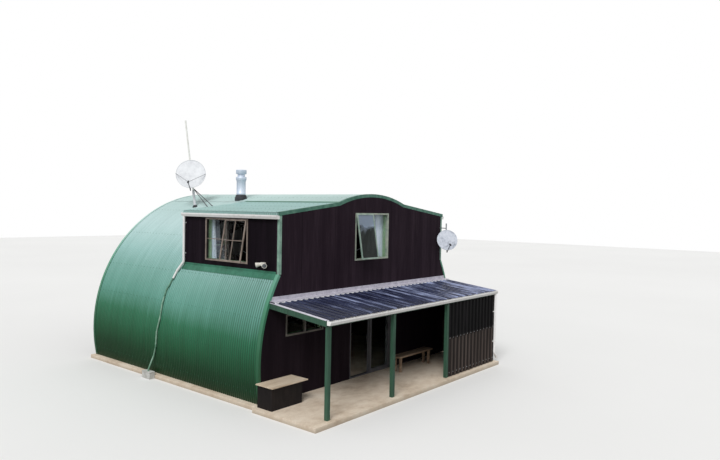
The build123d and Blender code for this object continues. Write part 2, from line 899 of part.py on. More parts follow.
def rib_profile(width, ribs):
    """Ribbed sheet seen end on: flat pans at sketch height 0 and raised ribs between them."""
    with Locations((0, -rib_sheet_thickness / 2)):
        Rectangle(width, rib_sheet_thickness)
    slope_x = (rib_base - rib_top) / 2
    rib_slope = degrees(atan(rib_height / slope_x))
    with GridLocations(rib_pitch, 0, ribs, 1):
        Trapezoid(rib_base, rib_height, rib_slope, align=(Align.CENTER, Align.MIN))
    with GridLocations(rib_pitch, 0, ribs, 1):
        with Locations((0, -rib_sheet_thickness)):
            Trapezoid(
                rib_base - 2 * rib_sheet_thickness,
                rib_height,
                rib_slope,
                align=(Align.CENTER, Align.MIN),
                mode=Mode.SUBTRACT,
            )


roof_ribs = int((verandah_width - rib_base) // rib_pitch)
fall_direction = (0, -cos(fall_angle), -sin(fall_angle))
with BuildPart() as verandah_roof:
    sheet_start = 2 * flashing_thickness
    sheet_origin = (verandah_middle, -sheet_start, roof_at_wall - sheet_start * fall)
    with BuildSketch(Plane(sheet_origin, x_dir=(1, 0, 0), z_dir=fall_direction)):
        rib_profile(verandah_width, roof_ribs)
    extrude(amount=(verandah_roof_depth - sheet_start) / cos(fall_angle))
write(verandah_roof, "verandah_roof")

# Apron flashing: up the wall, down over the ribs, with a lip notched to fit over every rib
with BuildPart() as apron_flashing:
    apron_seat = roof_at_wall + (rib_height + fit) / cos(fall_angle)
    apron_front = apron_seat - apron_cover * fall
    with BuildSketch(along(-verandah_left)):
        Polygon(
            (0, apron_seat),
            (0, apron_seat + apron_upstand),
            (-flashing_thickness, apron_seat + apron_upstand),
            (-flashing_thickness, apron_seat + flashing_thickness),
            (-apron_cover, apron_front + flashing_thickness),
            (-apron_cover, apron_front),
            align=None,
        )
    extrude(amount=verandah_width)
    lip_plane = Plane((verandah_middle, -apron_cover, apron_front), x_dir=(1, 0, 0), z_dir=(0, -1, 0))
    with BuildSketch(lip_plane):
        with Locations((0, (flashing_thickness - apron_lip) / 2)):
            Rectangle(verandah_width, apron_lip + flashing_thickness)
        slope_x = (rib_base - rib_top) / 2
        with GridLocations(rib_pitch, 0, roof_ribs, 1):
            with Locations((0, -rib_height - fit)):
                Trapezoid(
                    rib_base + 2 * rib_sheet_thickness,
                    rib_height + 2 * fit,
                    degrees(atan(rib_height / slope_x)),
                    align=(Align.CENTER, Align.MIN),
                    mode=Mode.SUBTRACT,
                )
    extrude(amount=-flashing_thickness)
    with BuildSketch(across(0)):
        barge_relief()
    extrude(amount=flashing_thickness + fit, mode=Mode.SUBTRACT)
write(apron_flashing, "apron_flashing")

with BuildPart() as verandah_barges:
    for turn, x in ((1, -verandah_left), (-1, verandah_right)):
        barge_start = flashing_thickness + fit
        with BuildSketch(along(x)):
            Polygon(
                (-barge_start, pan_under(barge_start)),
                (-barge_start, pan_under(barge_start) - beam_depth),
                (-beam_front, beam_bottom),
                (-beam_front, pan_under(beam_front)),
                align=None,
            )
        extrude(amount=turn * verandah_barge_thickness)
write(verandah_barges, "verandah_barges")

# Ribbed screens: one across the right-hand bay and one closing the right-hand end
screen_bottom = slab_top + screen_foot_gap
screen_left = post_places[2] + post_size / 2
screen_right = post_places[3] + post_size / 2
screen_height = beam_bottom - screen_bottom
screen_face = post_line + post_size / 2
with BuildPart() as ribbed_screens:
    front_origin = ((screen_left + screen_right) / 2, -screen_face - rib_sheet_thickness, screen_bottom)
    front_ribs = int((screen_right - screen_left - rib_base) // rib_pitch)
    with BuildSketch(Plane(front_origin, x_dir=(-1, 0, 0), z_dir=(0, 0, 1))):
        rib_profile(screen_right - screen_left, front_ribs)
    extrude(amount=screen_height)
    end_length = screen_face
    end_origin = (screen_right + rib_sheet_thickness, -end_length / 2, screen_bottom)
    end_ribs = int((end_length - rib_base) // rib_pitch)
    with BuildSketch(Plane(end_origin, x_dir=(0, -1, 0), z_dir=(0, 0, 1))):
        rib_profile(end_length, end_ribs)
    extrude(amount=screen_height)
write(ribbed_screens, "ribbed_screens")


# Gutters with their downpipes
def gutter_profile():
    """Gutter seen end on: its back is on sketch X 0 and its rim on sketch Y 0."""
    Polygon(
        (0, 0),
        (0, -gutter_height),
        (gutter_floor_width, -gutter_height),
        (gutter_width, -gutter_lip_height),
        (gutter_width, 0),
        (gutter_width - gutter_wall, 0),
        (gutter_width - gutter_wall, -gutter_lip_height),
        (gutter_floor_width - gutter_wall, gutter_wall - gutter_height),
        (gutter_wall, gutter_wall - gutter_height),
        (gutter_wall, 0),
        align=None,
    )


def gutter_end_profile():
    """Closed end plate of the same gutter."""
    Polygon(
        (0, 0),
        (0, -gutter_height),
        (gutter_floor_width, -gutter_height),
        (gutter_width, -gutter_lip_height),
        (gutter_width, 0),
        align=None,
    )


def gutter_solid(middle, outward, length):
    """Gutter whose back's top edge is centred on middle and whose bowl lies outward of it."""
    run = Vector(*outward).cross(Vector(0, 0, 1))
    first = Vector(*middle) - run * (length / 2)
    with BuildPart() as gutter:
        with BuildSketch(Plane(first, x_dir=outward, z_dir=run)):
            gutter_profile()
        extrude(amount=length)
        for shift in (0, length - gutter_wall):
            with BuildSketch(Plane(first + run * shift, x_dir=outward, z_dir=run)):
                gutter_end_profile()
            extrude(amount=gutter_wall)
    return gutter.part


def pipe_solid(points, bend, radius, wall, sides):
    """Open pipe along straight runs joined by bends."""
    with BuildPart() as pipe:
        with BuildLine():
            route = FilletPolyline(*points, radius=bend)
        with BuildSketch(Plane(route @ 0, z_dir=route % 0)):
            RegularPolygon(radius, sides)
            RegularPolygon(radius - wall, sides, mode=Mode.SUBTRACT)
        sweep()
    return pipe.part


def rod(start, end, radius):
    """Round bar between two points."""
    run = end - start
    with BuildPart() as bar:
        with BuildSketch(Plane(start, z_dir=run)):
            RegularPolygon(radius, rod_sides)
        extrude(amount=run.length)
    return bar.part


def frustum(wide_end, narrow_end, wide_radius, narrow_radius, sides):
    """Many-sided piece that narrows from one point to another."""
    run = narrow_end - wide_end
    shrink = (wide_radius - narrow_radius) * cos(pi / sides)
    with BuildPart() as piece:
        with BuildSketch(Plane(wide_end, z_dir=run)):
            RegularPolygon(wide_radius, sides)
        extrude(amount=run.length, taper=degrees(atan(shrink / run.length)))
    return piece.part


def clip_solid(side, y, z):
    """Block that holds a downpipe off a dormer wall."""
    reach = clip_height + pipe_wall
    with BuildPart() as clip:
        with BuildSketch(Plane.XY.offset(z)):
            with Locations((side * (dormer_half_width + reach / 2), y)):
                Rectangle(reach, clip_height)
        extrude(amount=clip_height)
    return clip.part


dormer_gutter_top = roof_under(dormer_half_width + eave_overhang)
pipe_bend = 2.5 * pipe_radius
gutter_back = dormer_half_width + flashing_thickness + fit
dormer_pipe_y = dormer_length - 2 * pipe_radius
gutter_pipe_x = dormer_half_width + pipe_radius + clip_height
kick_z = dormer_base + 2 * pipe_radius
spout_line = arch_radius + pipe_radius + pipe_spout_gap
spout_reach = sqrt(spout_line**2 - (kick_z - pipe_kick_drop - arch_centre) ** 2)
kick = Vector(spout_reach - gutter_pipe_x, pipe_kick_back, -pipe_kick_drop)
dormer_rainwater = []
for side in (-1, 1):
    gutter_middle = (side * gutter_back, dormer_length / 2, dormer_gutter_top)
    dormer_rainwater.append(gutter_solid(gutter_middle, (side, 0, 0), dormer_length))
    pipe_x = side * gutter_pipe_x
    dormer_route = [
        (pipe_x, dormer_pipe_y, dormer_gutter_top - gutter_height),
        (pipe_x, dormer_pipe_y, kick_z),
        (pipe_x + side * kick.X, dormer_pipe_y + kick.Y, kick_z + kick.Z),
    ]
    dormer_rainwater.append(pipe_solid(dormer_route, pipe_bend, pipe_radius, pipe_wall, pipe_sides))
    for z in (dormer_gutter_top - 3 * gutter_height, dormer_base + 3 * gutter_height):
        dormer_rainwater.append(clip_solid(side, dormer_pipe_y, z))
with BuildPart() as dormer_gutters:
    add(dormer_rainwater)
write(dormer_gutters, "dormer_gutters")

rim = pan_under(verandah_roof_depth) - fit
front_pipe_x = verandah_right - 2 * pipe_radius
front_pipe_y = -beam_front - gutter_width / 2
front_route = [
    (front_pipe_x, front_pipe_y, rim - gutter_height),
    (front_pipe_x, front_pipe_y, slab_top + 8 * pipe_radius),
    (front_pipe_x + 5 * pipe_radius, front_pipe_y, slab_top + 3 * pipe_radius),
]
front_rainwater = [
    gutter_solid((verandah_middle, -beam_front, rim), (0, -1, 0), verandah_width),
    pipe_solid(front_route, pipe_bend, pipe_radius, pipe_wall, pipe_sides),
]
with BuildPart() as verandah_gutter:
    add(front_rainwater)
write(verandah_gutter, "verandah_gutter")

# Thin pipe from the left dormer's spout, down over the arch to a gully box on the ground
with BuildPart() as gully_box:
    gully_x = -slab_half_width - fit - gully_width / 2
    gully_middle = dormer_pipe_y + kick.Y + gully_behind_spout
    with BuildSketch(Plane.XY):
        with Locations((gully_x, gully_middle)):
            Rectangle(gully_width - 2 * gully_lid_margin, gully_length - 2 * gully_lid_margin)
    extrude(amount=gully_height - gully_lid_thickness)
    with BuildSketch(Plane.XY.offset(gully_height - gully_lid_thickness)):
        with Locations((gully_x, gully_middle)):
            RectangleRounded(gully_width, gully_length, 2 * gully_lid_margin)
    extrude(amount=gully_lid_thickness)
write(gully_box, "gully_box")

spout_y = dormer_pipe_y + kick.Y
spout_z = kick_z + kick.Z
spout_mouth = Vector(-spout_reach, spout_y, spout_z)
spout_run = Vector(-kick.X, kick.Y, kick.Z).normalized()
saddle_radius = arch_radius + fit
wall_pipe_line = saddle_radius + wall_pipe_standoff + wall_pipe_radius
wall_pipe_points = [spout_mouth - spout_run * wall_pipe_bend, spout_mouth + spout_run * wall_pipe_radius]
wall_pipe_saddles = []
for shift, share in wall_pipe_course:
    y = spout_y + shift
    turn = asin((gully_height + (spout_z - gully_height) * share - arch_centre) / wall_pipe_line)
    outward = Vector(-cos(turn), 0, sin(turn))
    arch_middle = Vector(0, y, arch_centre)
    wall_pipe_points.append(arch_middle + outward * wall_pipe_line)
    saddle_end = wall_pipe_line - wall_pipe_radius + wall_pipe_wall
    wall_pipe_saddles.append((arch_middle + outward * saddle_radius, arch_middle + outward * saddle_end))
wall_pipe_points.append(Vector(gully_x, gully_middle, gully_height + wall_pipe_bend))
wall_pipe_points.append(Vector(gully_x, gully_middle, gully_height + fit))
with BuildPart() as wall_pipe:
    add(pipe_solid(wall_pipe_points, wall_pipe_bend, wall_pipe_radius, wall_pipe_wall, wall_pipe_sides))
    add([rod(start, end, wall_pipe_saddle) for start, end in wall_pipe_saddles[1:]])
write(wall_pipe, "wall_pipe")

# Flue: pipe through the arch, boot on the roof, cap on a narrow neck
flue_foot = arch_height(flue_x - flue_radius, lining_inner) - flue_radius
boot_seat = arch_height(flue_x, arch_radius)
cap_bottom = boot_seat + flue_above_roof
collar_top = cap_bottom - flue_neck_height


def flue_part(wide_height, narrow_height, wide_radius, narrow_radius):
    """Upright piece on the flue's axis, from its wide end to its narrow one."""
    wide_end = Vector(flue_x, flue_y, wide_height)
    narrow_end = Vector(flue_x, flue_y, narrow_height)
    return frustum(wide_end, narrow_end, wide_radius, narrow_radius, flue_sides)


cone_foot = collar_top - flue_cowl_height
cone_head = collar_top - flue_cowl_height / 2
with BuildPart() as flue_pipe:
    add(flue_part(flue_foot, cone_foot, flue_radius, flue_radius))
    add(flue_part(cone_head, cone_foot, flue_top_radius, flue_radius))
    add(flue_part(cone_head, collar_top, flue_top_radius, flue_top_radius))
    add(flue_part(collar_top, cap_bottom, flue_neck_radius, flue_neck_radius))
    add(flue_part(cap_bottom, cap_bottom + flue_cowl_height, flue_top_radius, flue_top_radius))
    bore_radius = flue_radius - flue_wall
    add(flue_part(flue_foot, collar_top - flue_wall, bore_radius, bore_radius), mode=Mode.SUBTRACT)
write(flue_pipe, "flue_pipe")

with BuildPart() as flue_boot:
    boot_shoulder = boot_seat + boot_height / 4
    boot_top = boot_seat + boot_height
    add(flue_part(boot_seat - boot_height, boot_shoulder, boot_radius, boot_radius))
    add(flue_part(boot_shoulder, boot_top, boot_radius, flue_radius + 4 * flue_wall))
    sleeve_radius = flue_radius + fit
    add(flue_part(boot_seat - boot_height, boot_top, sleeve_radius, sleeve_radius), mode=Mode.SUBTRACT)
    with BuildSketch(across(0)):
        with Locations((0, arch_centre)):
            Circle(arch_radius + fit)
    extrude(amount=-hut_length, mode=Mode.SUBTRACT)
write(flue_boot, "flue_boot")

# Satellite dishes
dish_normal = Vector(
    -sin(radians(dish_turn)) * cos(radians(dish_tilt)),
    -cos(radians(dish_turn)) * cos(radians(dish_tilt)),
    sin(radians(dish_tilt)),
)
dish_level = Vector(cos(radians(dish_turn)), -sin(radians(dish_turn)), 0)
dish_up = dish_normal.cross(dish_level)
if dish_up.Z < 0:
    dish_up = dish_up * -1


def dish_solid(centre, radius, depth):
    """Shallow bowl of flat panels. Its back touches centre, and it opens along the dish's normal."""
    half_panel = pi / dish_sides
    reach = radius * cos(half_panel)
    wedge = 2 * radius * tan(half_panel)
    back = [(reach * share, depth * share**2) for share in dish_bands]
    front = [(across_dish, rise + dish_thickness) for across_dish, rise in reversed(back)]
    with BuildPart() as panel:
        with BuildSketch(Plane(centre, x_dir=dish_up, z_dir=dish_up.cross(dish_normal))):
            Polygon(*back, *front, align=None)
        extrude(amount=radius, both=True)
        with BuildSketch(Plane(centre, x_dir=dish_up, z_dir=dish_normal)):
            Polygon((0, 0), (2 * radius, -wedge), (2 * radius, wedge), align=None)
        extrude(amount=2 * depth, both=True, mode=Mode.INTERSECT)
    axis = Axis(centre, dish_normal)
    with BuildPart() as dish:
        add([panel.part.rotate(axis, 360 * index / dish_sides) for index in range(dish_sides)])
    return dish.part


mast_foot = Vector(roof_dish_x, roof_dish_y, arch_height(roof_dish_x, arch_radius) + fit)
mast_direction = Vector(roof_mast_lean[0], roof_mast_lean[1], 1).normalized()
roof_hub = mast_foot + mast_direction * roof_dish_height
roof_dish_back = roof_hub + dish_normal * dish_stub
roof_bowl = dish_solid(roof_dish_back, roof_dish_radius, roof_dish_depth)
with BuildPart() as roof_dish:
    add(roof_bowl)
write(roof_dish, "roof_dish")

eave_level = roof_top(dormer_half_width)
side_dish_centre = Vector(side_pole_x, side_pole_y, eave_level - side_dish_below_eave)
side_dish_back = side_dish_centre + dish_normal * dish_stub
side_bowl = dish_solid(side_dish_back, side_dish_radius, side_dish_depth)
with BuildPart() as side_dish:
    add(side_bowl)
write(side_dish, "side_dish")


def feed_rods(back, radius, depth, reach, drop, side_stays):
    """Arm from behind a dish, under its rim and out to the feed head, with stays from the rim's sides."""
    behind = back - dish_normal * (dish_stub / 2)
    root = behind - dish_up * (dish_stub_radius + fit)
    elbow = behind - dish_up * (radius + feed_elbow_drop)
    feed = back + dish_normal * reach - dish_up * drop
    head_run = (back - feed).normalized() * (feed_head_length / 2)
    rods = [
        rod(root, elbow, feed_arm_radius),
        rod(elbow, feed, feed_arm_radius),
        rod(feed - head_run, feed + head_run, feed_head_radius),
    ]
    if side_stays:
        stay_rise = depth + dish_thickness + feed_stay_radius + fit
        for side in (-1, 1):
            stay_root = back + dish_normal * stay_rise + dish_level * side * radius
            rods.append(rod(stay_root, feed, feed_stay_radius))
    return rods


mast_root = mast_foot - mast_direction * (3 * roof_mast_radius)
roof_rods = [
    rod(mast_root, mast_foot + mast_direction * roof_mast_length, roof_mast_radius),
    rod(roof_hub, roof_dish_back - dish_normal * fit, dish_stub_radius),
]
for span in roof_stay_feet:
    stay_foot = Vector(mast_foot.X, mast_foot.Y - span, mast_foot.Z - roof_mast_radius)
    stay_head = mast_foot + mast_direction * roof_stay_height
    roof_rods.append(rod(stay_foot, stay_head, roof_mast_radius / 2))
with BuildPart() as roof_dish_mount:
    add(roof_rods)
    with BuildSketch(across(0)):
        with Locations((0, arch_centre)):
            Circle(arch_radius + fit)
    extrude(amount=-hut_length, mode=Mode.SUBTRACT)
write(roof_dish_mount, "roof_dish_mount")

pole_foot = Vector(side_pole_x, side_pole_y, eave_level - side_pole_below_eave)
side_rods = [
    rod(pole_foot, pole_foot + Vector(0, 0, side_pole_length), side_pole_radius),
    rod(side_dish_centre, side_dish_back - dish_normal * fit, dish_stub_radius),
]
for drop in side_arms_below_eave:
    arm_start = Vector(side_pole_x, 0, eave_level - drop)
    side_rods.append(rod(arm_start, Vector(side_pole_x, side_pole_y, eave_level - drop), side_arm_radius))
with BuildPart() as side_dish_mount:
    add(side_rods)
write(side_dish_mount, "side_dish_mount")

with BuildPart() as roof_dish_feed:
    roof_dish_size = (roof_dish_radius, roof_dish_depth)
    add(feed_rods(roof_dish_back, *roof_dish_size, roof_feed_reach, roof_feed_drop, True))
write(roof_dish_feed, "roof_dish_feed")

with BuildPart() as side_dish_feed:
    side_dish_size = (side_dish_radius, side_dish_depth)
    add(feed_rods(side_dish_back, *side_dish_size, side_feed_reach, side_feed_drop, False))
write(side_dish_feed, "side_dish_feed")

# Twin floodlights on the left dormer wall
lamp_hub = Vector(-dormer_half_width, floodlight_y, dormer_base + floodlight_above_base)
lamp_heads = []
for turn in (-1, 1):
    lamp_back = lamp_hub + Vector(lamp_back_radius / 2 - lamp_plate_depth, turn * lamp_radius, 0)
    lamp_run = Vector(lamp_aim[0], turn * lamp_aim[1], lamp_aim[2]).normalized()
    lamp_face = lamp_back + lamp_run * lamp_length
    lamp_heads.append(frustum(lamp_face, lamp_back, lamp_radius, lamp_back_radius, pipe_sides))
with BuildPart() as floodlights:
    with BuildSketch(along(-dormer_half_width)):
        with Locations((floodlight_y, lamp_hub.Z)):
            RectangleRounded(2 * lamp_radius, lamp_plate_height, lamp_radius / 4)
    extrude(amount=-lamp_plate_depth)
    add(lamp_heads)
write(floodlights, "floodlights")

# Storage box with its loose lid
with BuildPart() as storage_box:
    box_x = -box_left + box_length / 2
    box_y = -box_wall_gap - box_depth / 2
    with BuildSketch(Plane.XY.offset(slab_top)):
        with Locations((box_x, box_y)):
            Rectangle(box_length, box_depth)
    extrude(amount=box_height)
    with BuildSketch(Plane.XY.offset(slab_top + box_ply)):
        with Locations((box_x, box_y)):
            Rectangle(box_length - 2 * box_ply, box_depth - 2 * box_ply)
    extrude(amount=box_height, mode=Mode.SUBTRACT)
write(storage_box, "storage_box")

with BuildPart() as storage_box_lid:
    with BuildSketch(Plane.XY.offset(slab_top + box_height)):
        with Locations((-lid_left + lid_length / 2, -box_wall_gap / 2 - lid_depth / 2)):
            Rectangle(lid_length, lid_depth)
    extrude(amount=lid_thickness)
write(storage_box_lid, "storage_box_lid")

# Plank bench
with BuildPart() as plank_bench:
    bench_x = bench_left + bench_length / 2
    bench_y = -bench_wall_gap - bench_width / 2
    with BuildSketch(Plane.XY.offset(slab_top + bench_height - plank_thickness)):
        with Locations((bench_x, bench_y)):
            Rectangle(bench_length, bench_width)
    extrude(amount=plank_thickness)
    with BuildSketch(Plane.XY.offset(slab_top)):
        with Locations((bench_x, bench_y)):
            with GridLocations(bench_length - 4 * bench_leg, bench_width - 2 * bench_leg, 2, 2):
                Rectangle(bench_leg, bench_leg)
    extrude(amount=bench_height - plank_thickness)
write(plank_bench, "plank_bench")
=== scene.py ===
# %% [markdown]
# # A backcountry hut in curved corrugated steel
#
# The real hut is a round arch of corrugated steel sheet on a concrete slab. Its front half has
# a dormer on each side, its ends are closed with dark stained plywood, and a lean-to verandah
# with a ribbed steel roof runs along the front. The solids give every size. Here the sheets get
# their waves, the roofs their screws, the windows their bars and curtains, and every surface
# a finish.

# %% Load the frame
import json
from math import acos, asin, atan2, cos, degrees, pi, radians, sin, sqrt, tan

import bpy
from mathutils import Matrix, Vector

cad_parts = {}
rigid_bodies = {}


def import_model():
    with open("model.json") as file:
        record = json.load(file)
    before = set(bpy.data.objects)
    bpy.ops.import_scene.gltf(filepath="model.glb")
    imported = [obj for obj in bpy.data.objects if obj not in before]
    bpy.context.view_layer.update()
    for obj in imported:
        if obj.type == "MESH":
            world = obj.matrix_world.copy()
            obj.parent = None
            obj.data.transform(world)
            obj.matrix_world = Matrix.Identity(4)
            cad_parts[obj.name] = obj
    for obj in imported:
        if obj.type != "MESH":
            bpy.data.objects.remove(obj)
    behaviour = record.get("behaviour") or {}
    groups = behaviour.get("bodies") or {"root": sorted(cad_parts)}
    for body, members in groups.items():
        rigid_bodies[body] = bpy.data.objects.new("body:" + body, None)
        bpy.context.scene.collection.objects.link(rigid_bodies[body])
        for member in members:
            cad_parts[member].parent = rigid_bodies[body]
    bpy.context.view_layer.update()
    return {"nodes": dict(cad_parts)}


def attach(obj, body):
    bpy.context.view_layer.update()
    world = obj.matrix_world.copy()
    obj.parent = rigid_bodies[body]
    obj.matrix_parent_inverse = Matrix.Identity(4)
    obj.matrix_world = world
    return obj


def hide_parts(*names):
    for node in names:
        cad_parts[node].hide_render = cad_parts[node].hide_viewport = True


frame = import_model()
nodes = frame["nodes"]

# %% [markdown]
# ## The camera
#
# The view was worked out from the lines of the slab, the gutters and the gable's corners. The
# camera stands in front of the left corner, a little above the eave of the verandah, and looks
# almost level. A camera in Blender looks down its own -Z, so it is tipped up a quarter turn and
# then turned about the vertical.

# %% Camera
eye = Vector((-13.609, -10.740, 4.608))
view_yaw = radians(50.514)
view_pitch = radians(1.808)
view_roll = radians(1.085)
lens = 31.48

camera_data = bpy.data.cameras.new("Camera")
camera_data.lens = lens
camera_data.sensor_width = 36
camera_data.clip_end = 200
camera = bpy.data.objects.new("Camera", camera_data)
bpy.context.scene.collection.objects.link(camera)
camera.matrix_world = (
    Matrix.Translation(eye)
    @ Matrix.Rotation(-view_yaw, 4, "Z")
    @ Matrix.Rotation(radians(90) - view_pitch, 4, "X")
    @ Matrix.Rotation(view_roll, 4, "Z")
)
bpy.context.scene.camera = camera
bpy.context.scene.view_settings.view_transform = "Standard"
print("camera at", tuple(eye))

# %% [markdown]
# ## Tools for the bench
#
# Blender's operators act on whatever is selected. So each step first puts everything down, then
# picks up one piece, and chooses its points or faces by where they are.

# %% Pick up and put down
def put_down():
    if bpy.context.object and bpy.context.object.mode != "OBJECT":
        bpy.ops.object.mode_set(mode="OBJECT")
    bpy.ops.object.select_all(action="DESELECT")


def pick(piece):
    put_down()
    piece.select_set(True)
    bpy.context.view_layer.objects.active = piece
    return piece


def choose(piece, kind, test):
    pick(piece)
    bpy.ops.object.mode_set(mode="EDIT")
    bpy.ops.mesh.select_mode(type=kind)
    bpy.ops.mesh.select_all(action="DESELECT")
    bpy.ops.object.mode_set(mode="OBJECT")
    mesh = piece.data
    if kind == "VERT":
        for point in mesh.vertices:
            point.select = test(point.co)
    else:
        for face in mesh.polygons:
            face.select = test(face.center, face.normal)
    bpy.ops.object.mode_set(mode="EDIT")


def choose_all(piece):
    pick(piece)
    bpy.ops.object.mode_set(mode="EDIT")
    bpy.ops.mesh.select_mode(type="VERT")
    bpy.ops.mesh.select_all(action="SELECT")


def settle(piece, name):
    pick(piece)
    bpy.ops.object.transform_apply(location=True, rotation=True, scale=True)
    piece.name = name
    piece.data.name = name
    return piece


def modify(piece, kind, **values):
    pick(piece)
    modifier = piece.modifiers.new(kind.title(), kind)
    for key, value in values.items():
        setattr(modifier, key, value)
    bpy.ops.object.modifier_apply(modifier=modifier.name)
    return piece


def join(name, parts):
    put_down()
    for part in parts:
        part.select_set(True)
    bpy.context.view_layer.objects.active = parts[0]
    if len(parts) > 1:
        bpy.ops.object.join()
    parts[0].name = name
    parts[0].data.name = name
    return parts[0]


def copy_of(piece, place):
    twin = piece.copy()
    twin.data = piece.data.copy()
    bpy.context.scene.collection.objects.link(twin)
    twin.matrix_world = place
    return settle(twin, piece.name)


def moved(piece, matrix):
    piece.matrix_world = matrix @ piece.matrix_world
    return settle(piece, piece.name)


def aimed(place, way):
    return Matrix.Translation(place) @ Vector(way).to_track_quat("Z", "Y").to_matrix().to_4x4()


both_sides = ((-1, "left"), (1, "right"))

# %% [markdown]
# Three shapes are used again and again: a board or plate with its edges broken, a round bar
# between two points, and a roofing screw with its hexagon head on a washer.

# %% Board, bar and screw
def board(name, corner, far, edge=0.002):
    put_down()
    bpy.ops.mesh.primitive_cube_add(size=1, location=[(a + b) / 2 for a, b in zip(corner, far)])
    piece = bpy.context.object
    piece.scale = [abs(b - a) for a, b in zip(corner, far)]
    choose_all(settle(piece, name))
    bpy.ops.mesh.bevel(offset=edge, segments=1, affect="EDGES")
    put_down()
    return piece


def bar(name, start, end, radius, sides=12, edge=0.2):
    put_down()
    start = Vector(start)
    run = Vector(end) - start
    bpy.ops.mesh.primitive_cylinder_add(vertices=sides, radius=radius, depth=run.length)
    piece = bpy.context.object
    piece.matrix_world = aimed(start + run / 2, run)
    settle(piece, name)
    along = run.normalized()
    choose(piece, "FACE", lambda centre, normal: abs(normal.dot(along)) > 0.9)
    bpy.ops.mesh.inset(thickness=radius * edge, depth=radius * edge)
    put_down()
    return piece


def screw(name, washer=0.0095, head=0.0046):
    parts = []
    for corners, radius, foot, top, inset, rise in (
        (10, washer, 0, 0.002, 0.3, 0.0012),
        (6, head, 0.0025, 0.0085, 0.2, 0.0006),
    ):
        put_down()
        bpy.ops.mesh.primitive_cylinder_add(
            vertices=corners, radius=radius, depth=top - foot, location=(0, 0, (foot + top) / 2)
        )
        part = settle(bpy.context.object, name)
        choose(part, "FACE", lambda centre, normal: normal.z > 0.9)
        bpy.ops.mesh.inset(thickness=radius * inset, depth=rise)
        parts.append(part)
    return join(name, parts)


def row_of(piece, step, count, **options):
    return modify(
        piece, "ARRAY", fit_type="FIXED_COUNT", count=count, use_relative_offset=False,
        use_constant_offset=True, constant_offset_displace=step, **options,
    )


# %% [markdown]
# ## How a finish is made
#
# Every finish is built from nodes, and reads the place of each point on the hut in metres. A tone
# of three values is written as the eye reads it, from 0 to 255, and made linear for the shader.
# Noise gives blotches and streaks, a ramp turns it into colour, and a bump gives grain.

# %% Small steps for finishes
def tone(red, green, blue):
    def linear(value):
        part = value / 255
        return part / 12.92 if part <= 0.04045 else ((part + 0.055) / 1.055) ** 2.4

    return (linear(red), linear(green), linear(blue), 1)


def node(kind, sockets, tree=None, **options):
    wires = [value for value in sockets.values() if isinstance(value, bpy.types.NodeSocket)]
    tree = tree or wires[0].id_data
    made = tree.nodes.new("ShaderNode" + kind)
    for key, value in options.items():
        setattr(made, key, value)
    for key, value in sockets.items():
        if value in wires:
            tree.links.new(value, made.inputs[key])
        else:
            made.inputs[key].default_value = value
    return made


def maths(operation, *values):
    return node("Math", dict(enumerate(values)), operation=operation).outputs[0]


def ramp(factor, *stops):
    made = node("ValToRGB", {"Fac": factor})
    elements = made.color_ramp.elements
    stops = [(place, tone(*colour) if len(colour) == 3 else colour) for place, colour in stops]
    elements[0].position, elements[0].color = stops[0]
    elements[1].position, elements[1].color = stops[-1]
    for place, colour in stops[1:-1]:
        elements.new(place).color = colour
    return made.outputs["Color"]


def span(value, low, high, start=0.0, end=1.0):
    sockets = {0: value, 1: low, 2: high, 3: start, 4: end}
    return node("MapRange", sockets, clamp=True).outputs[0]


def blend(factor, first, second, way="MIX"):
    sockets = {0: factor, 6: first, 7: second}
    return node("Mix", sockets, data_type="RGBA", blend_type=way).outputs[2]


def cloudy(place, scale, stretch=(1, 1, 1), detail=4, rough=0.55):
    mapped = node("Mapping", {"Vector": place, "Scale": stretch})
    sockets = {"Vector": mapped.outputs[0], "Scale": scale, "Detail": detail, "Roughness": rough}
    return node("TexNoise", sockets).outputs[0]


def new_finish(name):
    material = bpy.data.materials.new(name)
    material.use_nodes = True
    material.node_tree.nodes.clear()
    return material, node("TexCoord", {}, material.node_tree).outputs["Object"]


def axis_of(place, axis):
    return node("SeparateXYZ", {"Vector": place}).outputs[axis]


def mingle(first, second, share):
    return maths("MULTIPLY_ADD", first, share, maths("MULTIPLY", second, 1 - share))


def close_finish(colour, roughness, height=None, strength=0.3, distance=0.002, **constants):
    sockets = {"Base Color": colour, "Roughness": roughness}
    if height is not None:
        bump = node("Bump", {"Height": height, "Strength": strength, "Distance": distance})
        sockets["Normal"] = bump.outputs["Normal"]
    for key, value in constants.items():
        sockets[key.replace("_", " ")] = value
    shader = node("BsdfPrincipled", sockets)
    node("OutputMaterial", {"Surface": shader.outputs["BSDF"]})


# %% [markdown]
# Most finishes on the hut are one colour that has weathered: darker and lighter clouds, a finer
# mottle, and a slow change in how shiny it is. One helper makes them all, and takes the tones,
# the size of the clouds and their stretch along the grain or the fall of water.

# %% Weathered finish
def weathered(
    name, body, dark, pale=None, gloss=(0.45, 0.6), scale=1.2, stretch=(1, 1, 1), mottle=9.0, fine=60.0,
    fine_stretch=(1, 1, 1), strength=0.15, **constants,
):
    material, place = new_finish(name)
    clouds = cloudy(place, scale, stretch)
    specks = cloudy(place, mottle, stretch, detail=6, rough=0.65)
    mixed = mingle(specks, clouds, 0.45)
    colour = ramp(mixed, (0.34, dark), (0.5, body), (0.68, pale or body))
    roughness = span(mixed, 0.35, 0.65, gloss[1], gloss[0])
    grain = cloudy(place, fine, fine_stretch, detail=3)
    close_finish(colour, roughness, grain, strength, 0.001, **constants)
    return material
